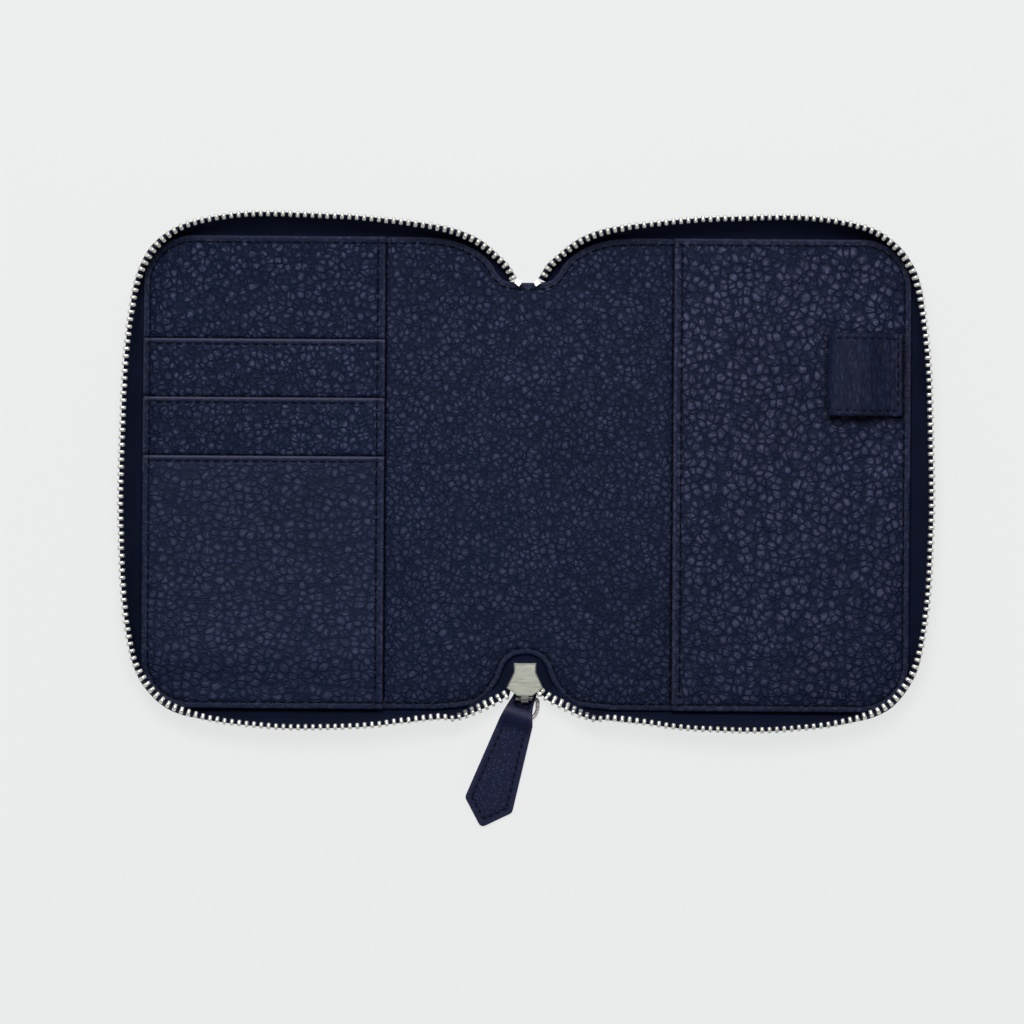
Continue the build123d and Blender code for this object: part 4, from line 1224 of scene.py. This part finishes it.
def tab_mesh():
    """The strip folded round the ring: upper and lower layer, open at the fold for the hook."""
    ny_fold = 2.25
    loop = tab_outline(ny_fold)
    # the window cuts the upper end into two ears
    win = [(-2.25, ny_fold), (-2.25, -2.1), (-1.9, -2.5), (1.9, -2.5), (2.25, -2.1), (2.25, ny_fold)]
    full = loop + even([loop[-1], win[0]], 0.3)[1:] + even(win[:2], 0.35)[1:] + even(win[1:3], 0.3)[1:] \
        + even(win[2:4], 0.35)[1:] + even(win[3:5], 0.3)[1:] + even(win[4:6], 0.35)[1:] + even([win[-1], loop[0]], 0.3)[1:-1]
    v, f = fill(full, (0.14, 0.34, 0.62), 0.62)
    d = seg_distance(v, full, True)
    outer_line = [(x, y) for x, y in tab_outline(8.0)]
    de = seg_distance(v, outer_line)
    w = v[:, 1]
    tab_h = TAB1[2] - TAB0[2]
    lift = rise((w + 10.2) / 4.6)                      # where the two layers part round the ring
    top = 2 * TAB_T + (tab_h - 2 * TAB_T) * lift - 0.10
    bot = (TAB_T + 0.02) + 0.0 * lift
    # smooth border, a pressed line inside it, then the grained middle
    on = rise((-w - 5.0) / 5.0)
    top = top - 0.14 * np.exp(-((de - 1.95) / 0.3) ** 2) * on + 0.05 * rise((de - 2.2) / 1.5) * on
    top = top + wave_at(v[:, 0], w, 0.06, 6.0, 3.0)
    # crossways wrinkle under the ring, the print of the ring's lower bow
    top = top - 0.16 * np.exp(-((w + 8.6 + 0.05 * v[:, 0] ** 2) / 1.1) ** 2)
    top = top + 0.16 * np.exp(-((w + 4.3 + 0.03 * v[:, 0] ** 2) / 0.9) ** 2) - 0.5 * rise((w + 3.4) / 2.2) * (np.abs(v[:, 0]) < 9)
    near = np.minimum(d, 0.42)
    # the fold's open end is not rounded, it turns over
    at_fold = (w > ny_fold - 0.02)
    open_d = np.where(np.abs(w - ny_fold) < d + 1e-6, 9.0, d)
    near = np.minimum(np.where(w > ny_fold - 0.7, np.minimum(open_d, 0.42), near), 0.42)
    drop = 0.42 - np.sqrt(np.maximum(0.42 ** 2 - (0.42 - near) ** 2, 0))
    n = len(v)
    t0 = top - TAB_T
    layers = [top - drop, np.maximum(t0 + drop, TAB_T + 0.03 + 0 * drop) if False else t0 + drop * 0.6,
              TAB_T - drop * 0.6 - 0.02, 0.03 + drop]
    # stations of the fold: a half turn from the top layer round to the bottom one
    verts = []
    for z in layers:
        verts += [(a, b, c) for (a, b), c in zip(v, z)]
    a, b, c = (v[f[0][k]] for k in range(3))
    up = (b[0] - a[0]) * (c[1] - a[1]) - (b[1] - a[1]) * (c[0] - a[0]) > 0
    tris = [t if up else t[::-1] for t in f]
    faces = []
    for s in (0, 2):
        faces += [tuple(i + s * n for i in t) for t in tris]
        faces += [tuple(i + (s + 1) * n for i in t[::-1]) for t in tris]
    count = set()
    for t in tris:
        for i in range(3):
            count.add((t[i], t[(i + 1) % 3]))
    border = [(i, j) for (i, j) in count if (j, i) not in count]
    fold_edges = []
    for i, j in border:
        if abs(v[i, 1] - ny_fold) < 1e-3 and abs(v[j, 1] - ny_fold) < 1e-3:
            fold_edges.append((i, j))
            continue
        for s in (0, 2):
            faces.append((j + s * n, i + s * n, i + (s + 1) * n, j + (s + 1) * n))
    # turn: top face of the upper layer runs on to the underside of the lower one
    steps = 12
    ids = sorted({k for e in fold_edges for k in e}, key=lambda k: v[k, 0])
    outer_ids, inner_ids = {}, {}
    for k in ids:
        zt, zb = layers[0][k], layers[3][k]
        it, ib = layers[1][k], layers[2][k]
        side_d = d[k] if False else 0
        for lab, (z1, z0), reach in (("o", (zt, zb), 0.80), ("i", (it, ib), 0.10)):
            ring = [k if lab == "o" else k + n]
            cz, r = (z1 + z0) / 2, (z1 - z0) / 2
            for s in range(1, steps):
                ang = math.pi * s / steps
                verts.append((v[k, 0], ny_fold + reach * math.sin(ang), cz + r * math.cos(ang)))
                ring.append(len(verts) - 1)
            ring.append(k + 3 * n if lab == "o" else k + 2 * n)
            (outer_ids if lab == "o" else inner_ids)[k] = ring
    for i, j in fold_edges:
        for s in range(steps):
            o1, o2 = outer_ids[i], outer_ids[j]
            n1, n2 = inner_ids[i], inner_ids[j]
            faces.append((o1[s], o1[s + 1], o2[s + 1], o2[s]))
            faces.append((n1[s], n2[s], n2[s + 1], n1[s + 1]))
    ends = {}
    for i, j in fold_edges:
        ends[i] = ends.get(i, 0) + 1
        ends[j] = ends.get(j, 0) + 1
    for k, c in ends.items():
        if c == 1:
            start = any(e[0] == k for e in fold_edges)
            for s in range(steps):
                q = (outer_ids[k][s], inner_ids[k][s], inner_ids[k][s + 1], outer_ids[k][s + 1])
                faces.append(q if start else q[::-1])
    world = [tab_world(x, y, z) for x, y, z in verts]
    ob = mesh_object("pull_tab_leather", world, faces, M_TAB)
    zero = np.zeros(len(world))
    press, painted_shade, painted_highlight = zero.copy(), zero.copy(), zero.copy()
    press[:n] = np.maximum(1 - rise((de - 1.5) / 0.6), rise((w + 9.5) / 2.0))
    press[4 * n:] = 1
    # painted shade in the pressed stitch line and in the dip below the fold; painted highlight on the band over the
    # ring's lower bow and along the edge
    painted_shade[:n] = 0.55 * bump_at(de, 1.9, 0.2) * on + 0.25 * bump_at(w, -7.6, 1.1)
    painted_highlight[:n] = 0.36 * bump_at(w, -4.2, 0.8) + 0.10 * bump_at(de, 0.4, 0.4)
    if len(ob.data.vertices) == len(world):
        for key, val in (("press", press), ("painted_shade", painted_shade), ("painted_highlight", painted_highlight)):
            at = ob.data.attributes.new(key, "FLOAT", "POINT")
            at.data.foreach_set("value", np.clip(val, 0, 1).astype(np.float32))
    return ob


tab_ob = tab_mesh()
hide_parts("pull_tab")


def tab_inner():
    """The lower layer runs on, pared thin, under the ring bar between the two ears."""
    loop = even([(-2.4, -3.0), (2.4, -3.0)], 0.4)[:-1] + even([(2.4, -3.0), (2.4, 2.6)], 0.4)[:-1] \
        + even([(2.4, 2.6), (-2.4, 2.6)], 0.4)[:-1] + even([(-2.4, 2.6), (-2.4, -3.0)], 0.4)[:-1]
    v, f = fill(loop, (0.1,), 0.5)
    n = len(v)
    top = 0.27 + wave_at(v[:, 0], v[:, 1], 0.02, 2.0, 8.0)
    verts = [tab_world(x, y, z) for (x, y), z in zip(v, top)] + [tab_world(x, y, 0.04) for x, y in v]
    a, b, c = (v[f[0][k]] for k in range(3))
    up = (b[0] - a[0]) * (c[1] - a[1]) - (b[1] - a[1]) * (c[0] - a[0]) > 0
    tris = [t if up else t[::-1] for t in f]
    faces = list(tris) + [tuple(i + n for i in t[::-1]) for t in tris]
    es = {(t[i], t[(i + 1) % 3]) for t in tris for i in range(3)}
    faces += [(j, i, i + n, j + n) for i, j in es if (j, i) not in es]
    return mesh_object("pull_tab_fold_layer", verts, faces, M_TAB)


tab_in = tab_inner()
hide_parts("pull_tab")


# ------------------------------------------------------------ stitches
from mathutils.bvhtree import BVHTree


def tree_of(*objs):
    verts, polys = [], []
    for o in objs:
        off = len(verts)
        verts += [o.matrix_world @ v.co for v in o.data.vertices]
        polys += [tuple(i + off for i in p.vertices) for p in o.data.polygons]
    return BVHTree.FromPolygons(verts, polys)


def height_on(tree, x, y, down=False):
    o = Vector((x * MM, y * MM, -0.02 if down else 0.03))
    hit = tree.ray_cast(o, Vector((0, 0, 1 if down else -1)))
    return None if hit[0] is None else hit[0].z / MM


def stitches(name, path, tree, pitch=2.75, length=2.15, r=0.23, down=False, material=None, skip=None, slant=0.0, sink=0.1):
    pts = walk(even(path, 0.25), 0.25)
    n = 8
    verts, uvs, faces = [], [], []
    k = int(pitch / 0.25 * 1000)
    pos = 0.4
    total = (len(pts) - 1) * 0.25
    seed = 0
    while pos + length < total:
        seed += 1
        sec = []
        jl = length + 0.12 * noise.noise(Vector((seed * 0.71, 1.3, 4.0)))
        for s in np.linspace(0, 1, 7):
            a = (pos + s * jl) / 0.25
            i = min(int(a), len(pts) - 2)
            t = a - i
            x = pts[i][0] + (pts[i + 1][0] - pts[i][0]) * t
            y = pts[i][1] + (pts[i + 1][1] - pts[i][1]) * t
            sec.append((x, y, s))
        mid = sec[3]
        pos += pitch
        if skip is not None and skip(mid[0], mid[1]):
            continue
        ok = [height_on(tree, x, y, down) for x, y, s in sec]
        if any(z is None for z in ok):
            continue
        zc = ok[3]
        dx, dy = sec[-1][0] - sec[0][0], sec[-1][1] - sec[0][1]
        m = math.hypot(dx, dy) or 1
        dx, dy = dx / m, dy / m
        nx, ny = -dy, dx
        off = len(verts)
        tilt = slant * (1 + 0.4 * noise.noise(Vector((seed * 0.37, 7.0, 1.0))))
        lo, hi = (min(ok), max(ok))
        for (x, y, s), z0 in zip(sec, ok):
            e = abs(2 * s - 1)
            rr = r * (1.0 if e < 0.7 else 0.82 if e < 0.9 else 0.45)
            zz = 0.5 * (z0 + zc)
            if abs(z0 - zc) > 0.6:
                zz = zc
            z = zz + (1 if not down else -1) * (sink - 0.30 * max(0.0, e - 0.45) ** 1.3 / 0.45)
            sx = tilt * (s - 0.5)
            for q in range(n):
                a = 2 * math.pi * q / n
                verts.append((x + nx * (math.cos(a) * rr + sx), y + ny * (math.cos(a) * rr + sx), z + math.sin(a) * rr * 0.9))
                uvs.append((s * jl, q / n * 1.4))
        for i in range(6):
            for q in range(n):
                a, b = off + i * n + q, off + i * n + (q + 1) % n
                faces.append((a, b, b + n, a + n))
        faces.append(tuple(off + q for q in range(n))[::-1])
        faces.append(tuple(off + 6 * n + q for q in range(n)))
    return mesh_object(name, verts, faces, material or M_THREAD, uv=uvs)


def inset_line(line, d, side_sign=1):
    """An open line moved sideways by d and tidied of folds."""
    p = np.array(line, float)
    t = np.gradient(p, axis=0)
    t /= np.maximum(np.linalg.norm(t, axis=1, keepdims=True), 1e-9)
    q = p + np.stack([t[:, 1], -t[:, 0]], 1) * d * side_sign
    keep = seg_distance(q, p) > d * 0.94
    return [tuple(v) for v in q[keep]]


top_right = tree_of(lining_r, pocket)
top_left = tree_of(lining_l, panel, *strips)
seam = inset_line(EDGE, 1.9, 1)
PEN_Y0, PEN_Y1 = PEN0[1], PEN1[1]
st_right = stitches("edge_stitches_right", seam, top_right,
                    skip=lambda x, y: x > 100 and PEN_Y0 - 0.4 < y < PEN_Y1 + 0.4)
st_left = stitches("edge_stitches_left", left(seam), top_left, skip=lambda x, y: PX - 0.4 < x < PX + 0.6)
out_tree = tree_of(outer_r, outer_l)
under_seam = inset_line(EDGE, 2.0, 1)
so_right = stitches("outer_stitches_right", under_seam, out_tree, down=True, sink=-0.16)
so_left = stitches("outer_stitches_left", left(under_seam), out_tree, down=True, sink=-0.16)

slot_sts = []
for k, ob in enumerate(strips):
    y = SLOT_TOP[k] - 1.62
    st = stitches("slot_stitches_" + ("upper", "middle", "lower")[k], [(-HW + 3.2, y), (SIDE_SEAM - 1.2, y)],
                  tree_of(ob), sink=0.06)
    slot_sts.append(st)
side_sts = stitches("card_panel_side_stitches", [(SIDE_SEAM, HH - 3.0), (SIDE_SEAM, -HH + 3.0)], top_left, sink=0.06)
mouth = stitches("pocket_mouth_stitches", [(PPX + 2.25, HH - 3.2), (PPX + 2.25, -HH + 3.2)], tree_of(pocket), sink=0.06)
pen_tree = tree_of(pen_ob)
pen_sts = []
for k, y in enumerate((PEN_Y0 + 1.65, PEN_Y1 - 1.65)):
    pen_sts.append(stitches("pen_loop_stitches_" + ("low", "top")[k], [(PEN0[0] + 2.0, y), (PEN1[0] - 1.0, y)], pen_tree,
                            pitch=2.3, length=1.75, r=0.2, sink=0.05))
pen_cross = stitches("pen_loop_seam_stitches", [(PEN1[0] - 1.5, PEN_Y0 + 2.2), (PEN1[0] - 1.5, PEN_Y1 - 2.2)], pen_tree, sink=0.06)
tab_tree = tree_of(tab_ob)
tl = [(x, y) for x, y in inset_line(tab_outline(), 1.85, 1) if y < -9.5]
tab_path = [tab_world(x, y, 0)[:2] for x, y in tl]
tab_st = stitches("pull_tab_stitches", tab_path, tab_tree, pitch=2.15, length=1.62, r=0.2, sink=0.02,
                  material=M_THREAD)
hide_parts("pull_tab_thread")


# ------------------------------------------------------------ CAD nodes that are shown
def finish_node(name, material, bevel=0.0, segments=2, smooth_faces=False):
    ob = frame["nodes"][name]
    ob.data.materials.clear()
    ob.data.materials.append(material)
    if bevel:
        b = ob.modifiers.new("edges", "BEVEL")
        b.width = bevel * MM
        b.segments = segments
        b.limit_method = "ANGLE"
        b.angle_limit = math.radians(35)
        b.harden_normals = False
    return ob


def board_material():
    m, nt, bsdf = node_tree("board")
    g = Net(nt)
    p = g.coords((1000, 1000, 1000))
    f = g.noise(p, 0.9, 4, 0.65)
    s = g.noise(g.coords((1000, 160, 1000)), 1.2, 3, 0.6)
    c = g.ramp(g.math("ADD", g.math("MULTIPLY", f, 0.6), g.math("MULTIPLY", s, 0.4)),
               [(0.3, (0.12, 0.115, 0.105)), (0.7, (0.26, 0.25, 0.23))])
    nt.links.new(c, bsdf.inputs["Base Color"])
    bsdf.inputs["Roughness"].default_value = 0.85
    nt.links.new(g.bump(f, 0.05 * MM), bsdf.inputs["Normal"])
    return m


M_BOARD = board_material()
for n in ("left_stiffener", "right_stiffener", "spine_stiffener"):
    finish_node(n, M_BOARD)
finish_node("slider_body", M_SLIDER, 0.22, 3)
finish_node("slider_bridge", M_RING, 0.14, 2)
finish_node("pull_ring", M_RING)
for n in ("spine_zip_teeth", "zip_bottom_stop", "zip_end_stops"):
    finish_node(n, M_TEETH, 0.16, 2)


# ------------------------------------------------------------ what moves with what
def bend_left(ob):
    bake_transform(ob)


def bend_right(ob):
    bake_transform(ob)


for ob in (outer_l, lining_l, tape_l, teeth_l, st_left, so_left):
    bend_left(ob)
for ob in (outer_r, lining_r, tape_r, teeth_r, st_right, so_right):
    bend_right(ob)
for ob in [panel, back_panel, side_sts] + strips + slot_sts:
    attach(ob, "left_cover")
for ob in [pocket, mouth, pen_ob, pen_cross] + pen_sts:
    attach(ob, "right_cover")
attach(arch_ob, "spine")
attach(mouth_teeth, "zip_slider")
for ob in (tab_ob, tab_in, tab_st):
    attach(ob, "tab")


# ------------------------------------------------------------ floor, lights, camera
KEY, RIM, SIDE, WORLD = 10.6, 2.2, 1.0, 0.12


def floor():
    me = bpy.data.meshes.new("floor")
    s = 3.0
    z = -0.00006
    me.from_pydata([(-s, -s, z), (s, -s, z), (s, s, z), (-s, s, z)], [], [(0, 1, 2, 3)])
    ob = bpy.data.objects.new("floor", me)
    bpy.context.scene.collection.objects.link(ob)
    m, nt, bsdf = node_tree("floor_paper")
    bsdf.inputs["Base Color"].default_value = (0.10, 0.102, 0.102, 1)
    bsdf.inputs["Roughness"].default_value = 0.9
    bsdf.inputs["Specular IOR Level"].default_value = 0.05
    bsdf.inputs["Emission Color"].default_value = (0.985, 1.0, 1.0, 1)
    bsdf.inputs["Emission Strength"].default_value = 0.742
    me.materials.append(m)
    return ob


def area(name, loc, target, size, power, color=(1, 1, 1), size_y=None):
    li = bpy.data.lights.new(name, "AREA")
    li.energy = power
    li.color = color
    li.shape = "RECTANGLE"
    li.size = size
    li.size_y = size_y or size
    ob = bpy.data.objects.new(name, li)
    ob.location = loc
    d = Vector(target) - Vector(loc)
    ob.rotation_euler = d.to_track_quat("-Z", "Y").to_euler()
    bpy.context.scene.collection.objects.link(ob)
    return ob


fl = floor()
lights = [
    area("key", (-0.05, 0.42, 1.05), (0, 0, 0), 0.42, KEY, (1.0, 0.985, 0.985)),
    area("rim", (0.0, 1.0, 0.42), (0, 0, 0.01), 0.9, RIM, (1.0, 0.99, 1.0), 0.3),
    area("side", (0.95, -0.25, 0.55), (0, 0, 0), 0.7, SIDE, (0.97, 0.985, 1.0)),
    area("side_left", (-0.95, -0.35, 0.55), (0, 0, 0), 0.7, SIDE * 0.8, (0.98, 0.99, 1.0)),
]
world = bpy.data.worlds.new("studio")
world.use_nodes = True
wt = world.node_tree
tc = wt.nodes.new("ShaderNodeTexCoord")
sp = wt.nodes.new("ShaderNodeSeparateXYZ")
mr = wt.nodes.new("ShaderNodeMapRange")
mr.inputs[1].default_value = 0.10
mr.inputs[2].default_value = 0.50
mr.inputs[3].default_value = 1.0
mr.inputs[4].default_value = WORLD
wt.links.new(tc.outputs["Generated"], sp.inputs[0])
wt.links.new(sp.outputs[2], mr.inputs[0])
wt.links.new(mr.outputs[0], wt.nodes["Background"].inputs[1])
wt.nodes["Background"].inputs[0].default_value = (0.93, 0.97, 1.0, 1)
bpy.context.scene.world = world

cam = bpy.data.cameras.new("camera")
cam.sensor_width = 36
cam.lens = 220
cam_ob = bpy.data.objects.new("camera", cam)
dist = 0.2918 * cam.lens / 36
cam_ob.location = (-0.0040, -0.0109, dist + 0.004)
cam_ob.rotation_euler = (0, 0, math.radians(0.4))
cam.clip_end = 20
bpy.context.scene.collection.objects.link(cam_ob)
bpy.context.scene.camera = cam_ob
bpy.context.scene.view_settings.view_transform = "Standard"
bpy.context.scene.view_settings.look = "None"
bpy.context.scene.view_settings.exposure = 0.0
bpy.context.scene.view_settings.gamma = 1.0
